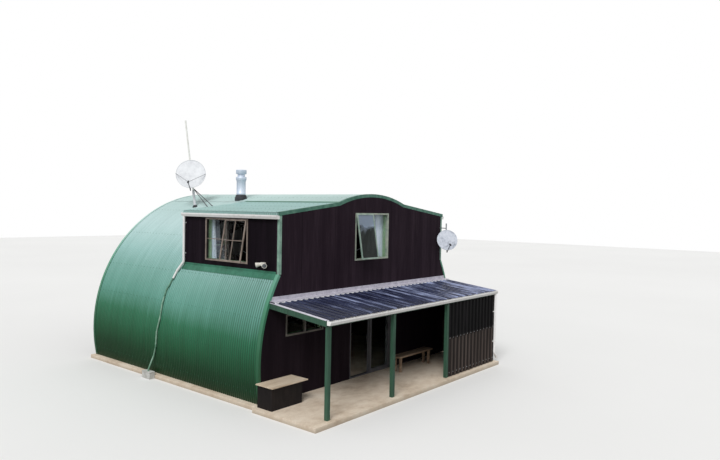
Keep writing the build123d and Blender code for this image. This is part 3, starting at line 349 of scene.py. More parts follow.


# %% [markdown]
# ## The green sheet
#
# The long sheets are colour-coated steel. Their tone follows the height, from a deep green near the
# ground to a pale grey green on top: painted shade low down and a painted sheen of the bright sky
# on top. Towards the rear the tone is a little darker. The valleys of the waves are darkened with
# painted shade, most near the front. Each sheet covers 762 mm of the length, so a thin dark lap
# line runs over the arch at every sheet, and rain leaves streaks down the curve. The lap line comes
# from the fraction of the length divided by the sheet's cover, and the valleys from a cosine of
# the length.

# %% Green sheet finish
arch_radius = 4.1
arch_centre = 0.95
wave_pitch = 0.0762
sheet_cover = 10 * wave_pitch
# Tones along the height: painted shade near the ground and a painted sheen of the sky on top.
deep_tones = (
    (0.0, (26, 54, 28)),
    (0.09, (26, 66, 38)),
    (0.18, (34, 90, 58)),
    (0.29, (45, 116, 83)),
    (0.4, (100, 160, 144)),
    (0.52, (124, 175, 164)),
)
arch_sheen_tones = (
    *deep_tones, (0.63, (154, 196, 191)), (0.79, (192, 219, 218)), (1.0, (186, 211, 207)),
)
roof_sheen_tones = (
    *deep_tones, (0.62, (150, 192, 186)), (0.84, (156, 191, 186)), (1.0, (146, 187, 184)),
)
sheen_foot = 0.1
sheen_head = 5.05


# Painted sheen and shade: the place on the ramp rises with the height.
def sheen_by_height(place, mixed, drift):
    height = span(axis_of(place, "Z"), sheen_foot, sheen_head)
    return maths("MULTIPLY_ADD", maths("SUBTRACT", mixed, 0.5), drift, height)


def green_sheet(name, lap, valley_shade_strength, sheen_tones):
    material, place = new_finish(name)
    y = axis_of(place, "Y")
    clouds = cloudy(place, 0.7, (1, 0.5, 1))
    streaks = cloudy(place, 2.2, (0.25, 3.2, 0.25), detail=6, rough=0.6)
    mixed = mingle(streaks, clouds, 0.55)
    darker_to_rear = span(y, 2.0, 7.4, 0.0, -0.03)
    colour = ramp(maths("ADD", sheen_by_height(place, mixed, 0.15), darker_to_rear), *sheen_tones)
    shade = ramp(mixed, (0.36, (0.86, 0.86, 0.86, 1)), (0.62, (0.98, 0.98, 0.98, 1)))
    colour = blend(1.0, colour, shade, "MULTIPLY")
    splash = span(axis_of(place, "Z"), 0.1, 0.3, 0.8, 0.0)
    ragged = maths("MULTIPLY", splash, cloudy(place, 7, (1, 1, 0.4), detail=6))
    colour = blend(ragged, colour, tone(40, 52, 34))
    wave = maths("COSINE", maths("MULTIPLY", y, 2 * pi / wave_pitch))
    # Painted shade in the valleys of the waves, strongest near the front.
    valley_shade = span(y, 0.3, 2.8, valley_shade_strength + 0.32, valley_shade_strength - 0.06)
    trough = maths("MULTIPLY", span(wave, 0.6, -1.0), valley_shade)
    colour = blend(trough, colour, tone(20, 52, 36))
    share = maths("FRACT", maths("DIVIDE", y, sheet_cover))
    line = maths("LESS_THAN", share, lap)
    worn = maths("MULTIPLY", line, span(streaks, 0.35, 0.6, 0.2, 0.7))
    colour = blend(worn, colour, tone(52, 92, 70))
    roughness = span(mixed, 0.35, 0.65, 0.44, 0.3)
    grain = cloudy(place, 90, detail=3)
    close_finish(colour, roughness, grain, 0.08, 0.0006, Specular_IOR_Level=0.32)
    return material


arch_green = green_sheet("arch_green", 0.02, 0.3, arch_sheen_tones)
roof_green = green_sheet("roof_green", 0.016, 0.2, roof_sheen_tones)
print("green finishes", arch_green.name, roof_green.name)

# %% [markdown]
# ## Stained plywood
#
# The end walls are sheets of structural plywood with a near-black stain that leans to purple.
# The grain runs up and down, the sheets are 1.2 m wide with a thin open joint between them, and
# rain has bleached long pale streaks. Below the verandah roof the front wall is painted darker:
# painted shade. The dormers' sides take the same stain in darker tones, also painted shade. The
# joints follow X on the end walls and Y on the dormers' sides, so one helper takes the axis.

# %% Plywood finish
ply_width = 1.2
joint_shift = 0.37
joint_share = 0.007


def stained_ply(name, axis, body, dark, pale, verandah_shade=1.0):
    material, place = new_finish(name)
    stretch = (3.0, 3.0, 0.22)
    clouds = cloudy(place, 1.1, stretch)
    grain = cloudy(place, 14, (3.0, 3.0, 0.12), detail=7, rough=0.65)
    mixed = mingle(grain, clouds, 0.5)
    colour = ramp(mixed, (0.34, dark), (0.5, body), (0.68, pale))
    run = maths("ADD", axis_of(place, axis), joint_shift)
    share = maths("FRACT", maths("DIVIDE", run, ply_width))
    joint = maths("LESS_THAN", share, joint_share)
    colour = blend(joint, colour, tone(10, 7, 10))
    # Painted shade: the wall below the verandah roof is darkened.
    under_roof_shade = span(axis_of(place, "Z"), 2.4, 2.55, verandah_shade, 1.0)
    colour = blend(under_roof_shade, tone(12, 9, 11), colour)
    roughness = span(mixed, 0.35, 0.65, 0.85, 0.62)
    height = maths("SUBTRACT", grain, joint)
    close_finish(colour, roughness, height, 0.35, 0.0015, Specular_IOR_Level=0.06)
    return material


ply_front = stained_ply("ply_front", "X", (39, 29, 37), (31, 22, 30), (53, 41, 50), 0.45)
ply_rear = stained_ply("ply_rear", "X", (34, 25, 32), (26, 18, 25), (48, 37, 45))
# The same stain in darker tones on the dormers' sides: painted shade.
ply_side = stained_ply("ply_side", "Y", (20, 13, 20), (14, 10, 14), (30, 21, 29))

# %% [markdown]
# ## Concrete, timber and metal
#
# The slab is broom-finished concrete that has browned with soil. Each of the other finishes
# takes its tone from the real part: pale rainwater goods, dark green flashing, bronze window
# frames, galvanised brackets, and bare planks on the bench.

# %% Concrete
def concrete_finish():
    material, place = new_finish("worn_concrete")
    clouds = cloudy(place, 0.9, detail=6, rough=0.6)
    stains = cloudy(place, 3.2, (1, 1.6, 1), detail=8, rough=0.7)
    mixed = mingle(stains, clouds, 0.5)
    colour = ramp(
        mixed,
        (0.32, (190, 168, 144)),
        (0.45, (222, 204, 182)),
        (0.56, (238, 223, 203)),
        (0.7, (247, 237, 222)),
    )
    sand = cloudy(place, 180, detail=2)
    colour = blend(span(sand, 0.35, 0.75, 0, 0.3), colour, tone(140, 124, 106))
    damp = span(axis_of(place, "Z"), 0.0, 0.09, 0.75, 0.0)
    colour = blend(maths("MULTIPLY", damp, stains), colour, tone(96, 82, 64))
    broom = cloudy(place, 40, (1, 12, 1), detail=4)
    close_finish(colour, span(mixed, 0.3, 0.7, 0.95, 0.75), broom, 0.3, 0.002)
    return material


concrete = concrete_finish()

# %% Paints, metals and plastics
dark_trim = weathered("dark_green_flashing", (38, 106, 82), (28, 80, 60), (56, 124, 100))
pale_flashing = weathered(
    "pale_flashing", (204, 202, 212), (176, 174, 186), (220, 219, 227), gloss=(0.4, 0.55)
)
bronze_paint = weathered("bronze_frame", (128, 114, 104), (102, 90, 82), (150, 138, 128), gloss=(0.4, 0.55))
rainwater_white = weathered(
    "rainwater_white", (234, 233, 232), (213, 209, 204), (243, 243, 243), gloss=(0.3, 0.45)
)
# The same white as the dormer gutters, painted brighter as painted light on the verandah gutter, its clips
# and straps.
gutter_white = weathered(
    "gutter_white", (251, 250, 249), (236, 232, 228), (254, 254, 254), gloss=(0.3, 0.45)
)
post_green = weathered(
    "post_green", (42, 80, 62), (30, 58, 44), (60, 98, 78), scale=2, stretch=(3, 3, 0.3), fine=30,
    fine_stretch=(6, 6, 0.4), strength=0.3,
)
rafter_brown = weathered(
    "rafter_brown", (58, 44, 36), (34, 26, 22), (84, 66, 54), stretch=(3, 0.4, 3), gloss=(0.7, 0.85)
)
lining_ply = weathered(
    "lining_ply", (84, 66, 48), (64, 50, 36), (104, 84, 62), stretch=(1, 0.2, 1), gloss=(0.6, 0.8)
)
floor_wood = weathered(
    "floor_wood", (104, 80, 56), (80, 60, 42), (128, 102, 74), stretch=(4, 0.3, 1), gloss=(0.5, 0.7)
)
box_ply = weathered(
    "box_ply", (21, 16, 16), (13, 10, 10), (33, 26, 24), stretch=(1, 1, 0.3), gloss=(0.7, 0.9),
    Specular_IOR_Level=0.25,
)
lid_ply = weathered(
    "lid_ply", (206, 188, 164), (158, 136, 112), (226, 212, 192), stretch=(0.4, 3, 1), gloss=(0.75, 0.9),
    fine=40, fine_stretch=(0.3, 5, 1),
)
plank_wood = weathered(
    "plank_wood", (140, 118, 98), (92, 74, 60), (176, 156, 134), scale=2, stretch=(0.3, 4, 4),
    gloss=(0.75, 0.9), fine=30, fine_stretch=(0.2, 6, 6), strength=0.4,
)
flue_steel = weathered(
    "flue_steel", (198, 210, 228), (150, 160, 178), (222, 230, 242), gloss=(0.42, 0.56),
    stretch=(4, 4, 0.3), mottle=14.0, Metallic=0.3,
)
galvanised = weathered(
    "galvanised", (158, 164, 168), (120, 126, 130), (186, 190, 194), gloss=(0.4, 0.6), scale=6, mottle=40,
    Metallic=0.8,
)
dark_steel = weathered("dark_steel", (62, 62, 66), (40, 40, 44), (90, 90, 94), gloss=(0.4, 0.6))
black_rubber = weathered("black_rubber", (52, 54, 58), (34, 35, 38), (74, 76, 80), gloss=(0.7, 0.85))
dish_white = weathered(
    "dish_white", (222, 224, 228), (202, 204, 210), (232, 234, 238), gloss=(0.4, 0.55), scale=2
)
dish_grey = weathered(
    "dish_grey", (200, 206, 217), (148, 155, 166), (220, 224, 233), gloss=(0.5, 0.65), scale=4, mottle=16
)
gully_grey = weathered("gully_grey", (206, 206, 202), (168, 166, 160), (222, 222, 220))
lamp_white = weathered("lamp_white", (226, 222, 214), (190, 184, 174), (238, 236, 232), gloss=(0.35, 0.5))
door_grey = weathered("door_metal", (88, 88, 92), (70, 70, 74), (108, 108, 112), gloss=(0.3, 0.45))
screw_bright = weathered("screw_bright", (196, 196, 200), (150, 150, 156), gloss=(0.3, 0.45), scale=20)
screw_dark = weathered("screw_dark", (104, 108, 126), (80, 84, 100), gloss=(0.35, 0.5), scale=20)
screw_green = weathered("screw_green", (54, 104, 80), (38, 82, 60), gloss=(0.4, 0.5), scale=20)
liner_green = weathered("liner_green", (146, 178, 138), (120, 154, 112), (166, 196, 158))
curtain_cotton = weathered(
    "curtain_cotton", (236, 243, 255), (216, 226, 248), (248, 251, 255), gloss=(0.85, 0.95), scale=3,
    stretch=(4, 4, 0.3), fine=400, strength=0.1, Specular_IOR_Level=0.1,
)
lamp_lens = weathered("lamp_lens", (96, 98, 104), (70, 72, 78), (130, 132, 140), gloss=(0.15, 0.25))
print("finishes", len(bpy.data.materials))

# %% [markdown]
# Some pieces carry two paints each. The dish's mast is white and its thin stays are dark steel.
# The sash in the gable is grey green and the sashes of the dormers are bronze. The dormers'
# frames are bronze outside and painted nearly black inside, where no light falls on them:
# painted shade. The low window's frame is painted grey as painted shade under the verandah. The
# gable's trim is deep green along the roof and pale down the corners. The green wall pipe is pale
# at its lower end and darker above, where a painted shadow lies on it, and the apron's notched lip
# is painted white as a painted highlight. The place on the hut tells one from the other. The
# arch's edge angles carry the same painted sheen and shade with height as the sheets.

# %% Finishes that change with the place
def two_paints(name, axis, limit, here, there, gloss=(0.4, 0.55)):
    material, place = new_finish(name)
    reach = maths("ABSOLUTE", axis_of(place, axis))
    mixed = cloudy(place, 6, detail=5, rough=0.6)
    within, beyond = (ramp(mixed, (0.36, dark), (0.62, pale)) for dark, pale in (here, there))
    colour = blend(maths("LESS_THAN", reach, limit), beyond, within)
    roughness = span(mixed, 0.35, 0.65, gloss[1], gloss[0])
    close_finish(colour, roughness, cloudy(place, 60, detail=3), 0.15, 0.001)
    return material


bronze_pair = ((108, 96, 88), (146, 132, 122))
mast_paint = two_paints(
    "mast_paint", "Y", 5.59, ((44, 44, 48), (70, 70, 74)), ((228, 228, 222), (246, 246, 242))
)
sash_paint = two_paints("sash_paint", "X", 1.2, ((124, 148, 136), (160, 178, 166)), bronze_pair)
# Painted shade: the dormers' frames are nearly black inside.
dormer_frame_paint = two_paints("dormer_frame_paint", "X", 3.508, ((24, 22, 21), (38, 35, 33)), bronze_pair)
# Painted shade: the low window's frame is greyed below 2.4 m, under the verandah.
frame_paint = two_paints(
    "frame_paint", "Z", 2.4, ((74, 72, 66), (106, 102, 94)), ((134, 150, 136), (176, 180, 166))
)
# Painted shadow: the wall pipe is darker above 2.2 m.
pipe_green = two_paints(
    "pipe_green", "Z", 2.2, ((88, 134, 108), (148, 180, 162)), ((58, 106, 82), (98, 144, 120)), (0.4, 0.6)
)
gable_trim_paint = two_paints(
    "gable_trim_paint", "Z", 4.43, ((104, 140, 124), (140, 174, 158)), ((44, 96, 80), (78, 128, 110))
)
# Painted highlight: the apron's lip below 2.4605 m is white.
apron_paint = two_paints(
    "apron_paint", "Z", 2.4605, ((244, 244, 248), (253, 253, 254)), ((170, 167, 180), (200, 197, 208))
)


# The barges carry the same painted sheen and shade with height as the sheets.
def barge_finish():
    material, place = new_finish("barge_green")
    mixed = cloudy(place, 3, (1, 1, 0.4), detail=6)
    colour = ramp(
        sheen_by_height(place, mixed, 0.12),
        (0.0, (26, 72, 44)),
        (0.25, (36, 98, 66)),
        (0.48, (66, 134, 104)),
        (0.66, (112, 168, 148)),
        (0.84, (170, 204, 197)),
        (1.0, (164, 198, 190)),
    )
    grain = cloudy(place, 60, detail=3)
    close_finish(colour, span(mixed, 0.35, 0.65, 0.55, 0.4), grain, 0.1, 0.001)
    return material


barge_green = barge_finish()


# %% [markdown]
# The verandah's ribbed sheet is a glossy blue-black. Long pale streaks run down its pans, partly
# left by water and partly a painted reflection of the sky that grows paler towards the right. The
# screen wall in the same sheet has brown-grey painted highlights in its lower half, strongest on
# the ribs, which are counted from the screen's middle.

# %% Dark ribbed sheet
rib_pitch = 0.19
screen_middle = 2.385


def ribbed_sheet(name, body, dark, pale, streaky, gloss, run, foot=None, **constants):
    material, place = new_finish(name)
    clouds = cloudy(place, 1.0)
    streaks = cloudy(place, 2.0, streaky, detail=7, rough=0.62)
    mixed = mingle(streaks, clouds, 0.8)
    x = axis_of(place, "X")
    # Partly painted reflection: the streaks grow paler towards the right along X.
    worn = maths("ADD", mixed, span(x, *run))
    colour = ramp(worn, (0.4, dark), (0.54, body), (0.66, pale))
    if foot is not None:
        # Painted highlights: brown-grey on the screen's ribs in its lower half.
        line = maths("ADD", maths("DIVIDE", x, rib_pitch), 0.5 - screen_middle / rib_pitch)
        share = maths("ABSOLUTE", maths("SUBTRACT", maths("FRACT", line), 0.5))
        crest_highlight = span(share, 0.2, 0.05, 0.25, 1.0)
        low = span(axis_of(place, "Z"), 1.12, 1.2, 1.0, 0.0)
        low = maths("MULTIPLY", low, maths("MULTIPLY", crest_highlight, span(streaks, 0.3, 0.6, 0.5, 1)))
        colour = blend(low, colour, tone(*foot))
    roughness = span(mixed, 0.35, 0.65, gloss[0], gloss[1])
    grain = cloudy(place, 70, detail=3)
    close_finish(colour, roughness, grain, 0.1, 0.001, **constants)
    return material


roof_black = ribbed_sheet(
    "verandah_black", (46, 52, 80), (24, 27, 48), (158, 168, 202), (13, 0.4, 1), (0.26, 0.42),
    (-3.8, 3.7, -0.045, 0.09),
)
screen_black = ribbed_sheet(
    "screen_black", (12, 11, 13), (8, 8, 9), (26, 24, 27), (5, 5, 0.3), (0.35, 0.5), (0, 1, 0, 0),
    (90, 80, 75), Specular_IOR_Level=0.1,
)


# %% Glass
# Paler towards the head of a pane: on the gable's sash a painted reflection of the sky.
tint_and_reflection_foot = 4.06
tint_and_reflection_head = 4.16


def glass_finish(name, foot, head, index, cover, clarity=1.0):
    material, place = new_finish(name)
    dust = cloudy(place, 3, detail=5)
    level = maths("MULTIPLY_ADD", dust, 0.5, maths("SUBTRACT", axis_of(place, "Z"), 0.25))
    tint_and_reflection = ramp(span(level, tint_and_reflection_foot, tint_and_reflection_head), (0.0, foot), (1.0, head))
    close_finish(tint_and_reflection, 0.0, Transmission_Weight=clarity, IOR=index, Alpha=cover)
    return material


door_glass = glass_finish("door_glass", (0.86, 0.92, 0.9, 1), (0.8, 0.88, 0.88, 1), 1.12, 1.0)
pane_glass = glass_finish("pane_glass", (0.8, 0.88, 0.88, 1), (0.7, 0.8, 0.84, 1), 1.15, 0.24)
# Painted shade: the rear panes are nearly black so the room behind them stays dark.
rear_glass = glass_finish("rear_glass", (0.012, 0.015, 0.015, 1), (0.018, 0.02, 0.023, 1), 1.35, 1.0)
# Painted reflection of the sky at the head of the gable's tipped sash.
sky_glass = glass_finish("sky_glass", (0.035, 0.045, 0.042, 1), (0.5, 0.6, 0.74, 1), 1.2, 0.85, 0.6)

# %% [markdown]
# ## Dress the solids
#
# A solid whose shape is right stays and gets its finish through its material slots.

# %% Assign the finishes
dressed = set()
for material, names in (
    (ply_front, "front_gable front_wall_left front_wall_right"),
    (ply_rear, "rear_wall_lower rear_wall_upper dormer_cheeks"),
    (ply_side, "dormer_wall_left dormer_wall_right"),
    (arch_green, "arch_sheet_left arch_sheet_right arch_sheet_crown_rear"),
    (roof_green, "arch_sheet_crown_front dormer_roof_left dormer_roof_right"),
    (lining_ply, "arch_lining_sides arch_lining_crown"),
    (floor_wood, "upper_floor"),
    (concrete, "floor_slab"),
    (barge_green, "arch_barges"),
    (gable_trim_paint, "gable_trim"),
    (dark_trim, "base_flashings"),
    (apron_paint, "apron_flashing"),
    (frame_paint, "end_window_frames"),
    (dormer_frame_paint, "dormer_window_frames"),
    (sash_paint, "awning_sashes"),
    (pane_glass, "window_glass"),
    (door_glass, "door_fixed_glass door_sliding_glass"),
    (door_grey, "door_frame door_fixed_leaf door_sliding_leaf"),
    (post_green, "verandah_posts verandah_beam verandah_barges"),
    (rafter_brown, "verandah_rafters"),
    (roof_black, "verandah_roof"),
    (screen_black, "ribbed_screens"),
    (gutter_white, "verandah_gutter"),
    (rainwater_white, "dormer_gutters"),
    (flue_steel, "flue_pipe"),
    (black_rubber, "flue_boot"),
    (dish_white, "roof_dish"),
    (dish_grey, "side_dish"),
    (mast_paint, "roof_dish_mount"),
    (galvanised, "side_dish_mount"),
    (dark_steel, "roof_dish_feed side_dish_feed"),
    (pipe_green, "wall_pipe"),
    (gully_grey, "gully_box"),
    (lamp_white, "floodlights"),
    (box_ply, "storage_box"),
    (lid_ply, "storage_box_lid"),
    (plank_wood, "plank_bench"),
):
    for name in names.split():
        piece = nodes[name]
        if not piece.material_slots:
            piece.data.materials.append(material)
        for place in piece.material_slots:
            place.material = material
        dressed.add(name)
print("bare nodes", sorted(set(nodes) - dressed))


# %% [markdown]
# A new piece needs its finish and the body it moves with, and may hide the solids it stands in for.
# Flat faces stay flat and only gentle edges are smoothed.

# %% Dress a new piece
def dress(piece, material, body="hut", smooth=30, stands_for=()):
    pick(piece)
    piece.data.materials.clear()
    piece.data.materials.append(material)
    bpy.ops.object.shade_smooth_by_angle(angle=radians(smooth))
    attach(piece, body)
    if stands_for:
        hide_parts(*stands_for)
    put_down()
    piece.data.calc_loop_triangles()
    print(piece.name, len(piece.data.loop_triangles), "triangles")
    return piece


# %% [markdown]
# ## Corrugated sheet
#
# Real corrugated sheet is rolled from flat steel: waves 76 mm apart and about 15 mm deep, bent
# round the arch. The piece starts as a strip one wave wide. Its rows are moved in and out to the
# wave, it is spun about the arch's axis, repeated along the length, cut off at the end and given
# its thickness. That is how the rollers do it too, and each wave is the same.

# %% One wave spun round the arch
wave_depth = 0.0145
wave_steps = 8
sheet_gauge = 0.001
spin_step = 2.5
strip_width = 0.02
end_gap = 0.001
crest = arch_radius - 0.0004


def wave_drop(step):
    return -wave_depth * (1 - cos(2 * pi * step / wave_steps)) / 2


def wave_line(name, corner, outward, first_y):
    put_down()
    bpy.ops.mesh.primitive_grid_add(x_subdivisions=1, y_subdivisions=wave_steps, size=1)
    strip = bpy.context.object
    strip.scale = (strip_width, wave_pitch, 1)
    strip.location = (corner[0] + strip_width / 2, first_y + wave_pitch / 2, corner[1])
    settle(strip, name)
    choose(strip, "VERT", lambda point: point.x > corner[0] + strip_width / 2)
    bpy.ops.mesh.delete(type="VERT")
    for step in range(1, wave_steps):
        line = first_y + wave_pitch * step / wave_steps
        choose(strip, "VERT", lambda point: abs(point.y - line) < 0.002)
        drop = wave_drop(step)
        bpy.ops.transform.translate(value=(outward[0] * drop, 0, outward[1] * drop))
    put_down()
    return strip


def lengthen(strip, first_y, front, rear):
    waves = int((rear - first_y) / wave_pitch) + 1
    row_of(strip, (0, wave_pitch, 0), waves, use_merge_vertices=True, merge_threshold=0.0004)
    for cut, side in ((rear, 1), (front, -1)):
        choose_all(strip)
        bpy.ops.mesh.bisect(plane_co=(0, cut, 0), plane_no=(0, side, 0), clear_outer=True)
        put_down()


def upward(point):
    return Vector((0, 0, 1))


def face_out(piece, outward):
    choose_all(piece)
    bpy.ops.mesh.normals_make_consistent(inside=False)
    put_down()
    face = piece.data.polygons[len(piece.data.polygons) // 2]
    if face.normal.dot(outward(face.center)) < 0:
        choose_all(piece)
        bpy.ops.mesh.flip_normals()
        put_down()


def arch_sheet(name, start, end, front, rear):
    first_y = wave_pitch * int(front / wave_pitch)
    turn = radians(start)
    corner = (crest * cos(turn), arch_centre + crest * sin(turn))
    strip = wave_line(name, corner, (cos(turn), sin(turn)), first_y)
    choose_all(strip)
    steps = round((end - start) / spin_step)
    bpy.ops.mesh.spin(steps=steps, angle=radians(end - start), center=(0, 0, arch_centre), axis=(0, 1, 0))
    put_down()
    lengthen(strip, first_y, front, rear)
    face_out(strip, lambda point: Vector((point.x, 0, point.z - arch_centre)))
    return modify(strip, "SOLIDIFY", thickness=sheet_gauge, offset=-1)


# %% The four arch sheets
slab_top = 0.1
dormer_foot = 3.0689
junction_reach = 1.42
arch_foot = -degrees(asin((arch_centre - slab_top) / arch_radius))
dormer_turn = degrees(asin((dormer_foot - arch_centre) / arch_radius))
crown_turn = degrees(acos(junction_reach / arch_radius))
dormer_length = 3.72
arch_length = 7.44
for name, start, end, front, rear in (
    ("arch_sheet_right", arch_foot, dormer_turn, 0.0, arch_length),
    ("arch_sheet_left", 180 - dormer_turn, 180 - arch_foot, 0.0, arch_length),
    ("arch_sheet_crown_front", crown_turn, 180 - crown_turn, 0.0, dormer_length),
    ("arch_sheet_crown_rear", dormer_turn, 180 - dormer_turn, dormer_length, arch_length),
):
    sheet = arch_sheet(name.replace("sheet", "waves"), start, end, front + end_gap, rear - end_gap)
    dress(sheet, arch_green, smooth=50, stands_for=[name])

# %% [markdown]
# The dormer roofs use the same sheet laid flat. The wave line is pushed out along the slope
# instead of spun, and a plywood deck lies beneath.

# %% Dormer roofs
def arch_level(reach):
    return arch_centre + sqrt(arch_radius**2 - reach**2)


junction = (junction_reach, arch_level(junction_reach))
eave_reach = 3.555
deck_reach = 3.54
deck_half = 0.025
deck_drop = 0.045
roof_pitch = radians(7.26)
roof_slope = tan(roof_pitch)


def dormer_roof(side, name):
    out = (side * sin(roof_pitch), cos(roof_pitch))
    corner = (side * junction[0], junction[1] - 0.001)
    strip = wave_line("dormer_waves_" + name, corner, out, 0)
    choose_all(strip)
    run = eave_reach - junction[0]
    bpy.ops.mesh.extrude_region_move(TRANSFORM_OT_translate={"value": (side * run, 0, -run * roof_slope)})
    put_down()
    lengthen(strip, 0, end_gap, dormer_length - end_gap)
    face_out(strip, upward)
    modify(strip, "SOLIDIFY", thickness=sheet_gauge, offset=-1)
    dress(strip, roof_green, smooth=50, stands_for=["dormer_roof_" + name])
    deck = board(
        "dormer_deck_" + name,
        (side * junction[0], 2 * end_gap, -deck_half),
        (side * deck_reach, dormer_length - 2 * end_gap, deck_half),
    )
    choose_all(deck)
    middle = (junction[0] + deck_reach) / 2
    pivot = (side * middle, 0, 0)
    bpy.ops.transform.rotate(value=-side * roof_pitch, orient_axis="Y", center_override=pivot)
    level = junction[1] - (middle - junction[0]) * roof_slope - deck_drop
    bpy.ops.transform.translate(value=(0, 0, level))
    put_down()
    dress(deck, lining_ply)


for side, name in both_sides:
    dormer_roof(side, name)

# %% [markdown]
# ## Edges of the dormer roofs
#
# A painted fascia closes the edge of each roof deck above its gutter. Where the flat sheet meets
# the curved crown, a folded flashing covers the cut ends of both. It starts as a strip of four
# faces, its rows are raised to lie on the two roofs, and it is given the thickness of steel.

# %% Fascia and junction flashings
fascia_reach = 3.5405
fascia_board = 0.012
fascia_gap = 0.003
flashing_gauge = 0.0012
flashing_width = 0.12
lap_width = 0.06
edge_rise = 0.0015
inner_rise = 0.005


def roof_level(reach):
    if reach < junction[0]:
        return arch_level(reach)
    return junction[1] - (reach - junction[0]) * roof_slope


def junction_flashing(side, name, front, rear, level, width, paint):
    put_down()
    bpy.ops.mesh.primitive_grid_add(x_subdivisions=4, y_subdivisions=1, size=1)
    lap = bpy.context.object
    lap.scale = (width, rear - front, 1)
    lap.location = (side * junction[0], (front + rear) / 2, 0)
    settle(lap, name)
    for point in sorted({round(abs(point.co.x), 4) for point in lap.data.vertices}):
        choose(lap, "VERT", lambda place: abs(abs(place.x) - point) < 0.001)
        edge = abs(abs(point - junction[0]) - width / 2) < 0.001
        rise = edge_rise if edge else inner_rise
        bpy.ops.transform.translate(value=(0, 0, level(point) + rise))
    face_out(lap, upward)
    modify(lap, "SOLIDIFY", thickness=flashing_gauge, offset=-1)
    dress(lap, paint, smooth=40)


for side, name in both_sides:
    near = (side * fascia_reach, fascia_gap, 4.452)
    far = (side * (fascia_reach + fascia_board), dormer_length - fascia_gap, 4.508)
    dress(board("dormer_fascia_" + name, near, far, 0.0015), roof_green)
    flashing = "junction_flashing_" + name
    # The junction flashing's dark green also stands in for the shadow line along the junction: painted
    # shade.
    junction_flashing(side, flashing, 0.03, dormer_length - 0.01, roof_level, flashing_width, dark_trim)
    lap = "crown_lap_" + name
    junction_flashing(side, lap, dormer_length, arch_length - 0.01, arch_level, lap_width, arch_green)

# %% [markdown]
# ## Window linings and bars
#
# Every opening is lined inside with painted boards, which stand in the wall and show as a pale
# green edge beside the glass. The awning sashes of the dormers have thin glazing bars on both
# faces of the pane, and the fixed panes one bar at the same height.

# %% Linings inside the openings
lining_board = 0.018
lining_depth = 0.11
lining_edge = 0.0015
dormer_window_reach = 3.522


def on_front(u, v, w):
    return (u, w, v)


def on_rear(u, v, w):
    return (u, arch_length - w, v)


def on_left(u, v, w):
    return (-dormer_window_reach + w, u, v)


def on_right(u, v, w):
    return (dormer_window_reach - w, u, v)


def lining_of(name, put, across, up, start):
    far = start + lining_depth
    left, right = across
    foot, head = up
    inner_left, inner_right = left + lining_board, right - lining_board
    boards = [
        board(name, put(*corner, start), put(*opposite, far), lining_edge)
        for corner, opposite in (
            ((left, foot), (inner_left, head)),
            ((inner_right, foot), (right, head)),
            ((inner_left, foot), (inner_right, foot + lining_board)),
            ((inner_left, head - lining_board), (inner_right, head)),
        )
    ]
    dress(join(name, boards), liner_green)


end_start = 0.0685
dormer_start = 0.0805
upper_heights = (3.278, 4.512)
lower_heights = (1.598, 2.082)
dormer_opening = ((1.135, 2.769), (3.258, 4.322))
lining_of("gable_window_lining", on_front, (-0.75, 0.67), upper_heights, end_start)
lining_of("low_window_lining", on_front, (-3.252, -1.988), lower_heights, end_start)
lining_of("dormer_window_lining_left", on_left, *dormer_opening, dormer_start)
lining_of("dormer_window_lining_right", on_right, *dormer_opening, dormer_start)
lining_of("rear_window_lining_upper", on_rear, (-0.71, 0.71), upper_heights, end_start)
lining_of("rear_window_lining_lower", on_rear, (-0.632, 0.632), lower_heights, end_start)

# %% Glazing bars of the dormer windows
bar_width = 0.018
bar_rise = 0.009
bar_edge = 0.0025
pane_half = 0.0035
sash_middle = Vector((3.627, 1.545, 3.8))
sash_size = (0.742, 0.986)
sash_tilt = radians(10)
fixed_pane_reach = 3.485
fixed_bar_start = (1.973, 3.791)
fixed_bar_end = (2.745, 3.809)


def glazing_bars(name, across, up):
    bars = []
    for face in (-1, 1):
        near, far = face * pane_half, face * (pane_half + bar_rise)
        for width, height in ((bar_width, up), (across, bar_width)):
            corner = (near, -width / 2, -height / 2)
            bars.append(board(name, corner, (far, width / 2, height / 2), bar_edge))
    return join(name, bars)


for side, name in both_sides:
    sash_bars = glazing_bars("sash_bars_" + name, *sash_size)
    middle = sash_middle * Vector((side, 1, 1))
    moved(sash_bars, Matrix.Translation(middle) @ Matrix.Rotation(-side * sash_tilt, 4, "Y"))
    dress(sash_bars, bronze_paint)
    fixed = []
    for face in (-1, 1):
        near = side * fixed_pane_reach + face * pane_half
        far = near + face * bar_rise
        fixed.append(board("pane_bar_" + name, (near, *fixed_bar_start), (far, *fixed_bar_end), bar_edge))
    dress(join("pane_bar_" + name, fixed), bronze_paint)

# %% [markdown]
# The panes came as one solid piece of glass for all the windows. A copy is taken apart, so that
# the open sash in the gable, which leans out and carries a painted reflection of the sky at its
# head, gets a glass of its own, and so do the windows in the rear wall, whose panes are painted
# nearly black as painted shade, so that the room behind them stays dark.

# %% Panes
panes = copy_of(nodes["window_glass"], nodes["window_glass"].matrix_world.copy())
choose_all(panes)
bpy.ops.mesh.remove_doubles(threshold=0.0001)
bpy.ops.mesh.normals_make_consistent(inside=False)
bpy.ops.mesh.separate(type="LOOSE")
put_down()
bpy.context.view_layer.update()
apart = [piece for piece in bpy.data.objects if piece.name.startswith("window_glass.")]
clear, tipped, shaded = [], [], []
for pane in apart:
    corners = [Vector(corner) for corner in pane.bound_box]
    middle = sum(corners, Vector()) / 8
    in_gable = abs(middle.x) < 1 and middle.y < 0
    group = shaded if middle.y > 7 else tipped if in_gable else clear
    group.append(pane)
print(len(clear), "clear panes,", len(tipped), "tipped in the gable and", len(shaded), "in the rear wall")
for name, group, glass in (
    ("rear_panes", shaded, rear_glass),
    ("window_panes", clear, pane_glass),
    ("gable_sash_pane", tipped, sky_glass),
):
    dress(join(name, group), glass, stands_for=["window_glass"])

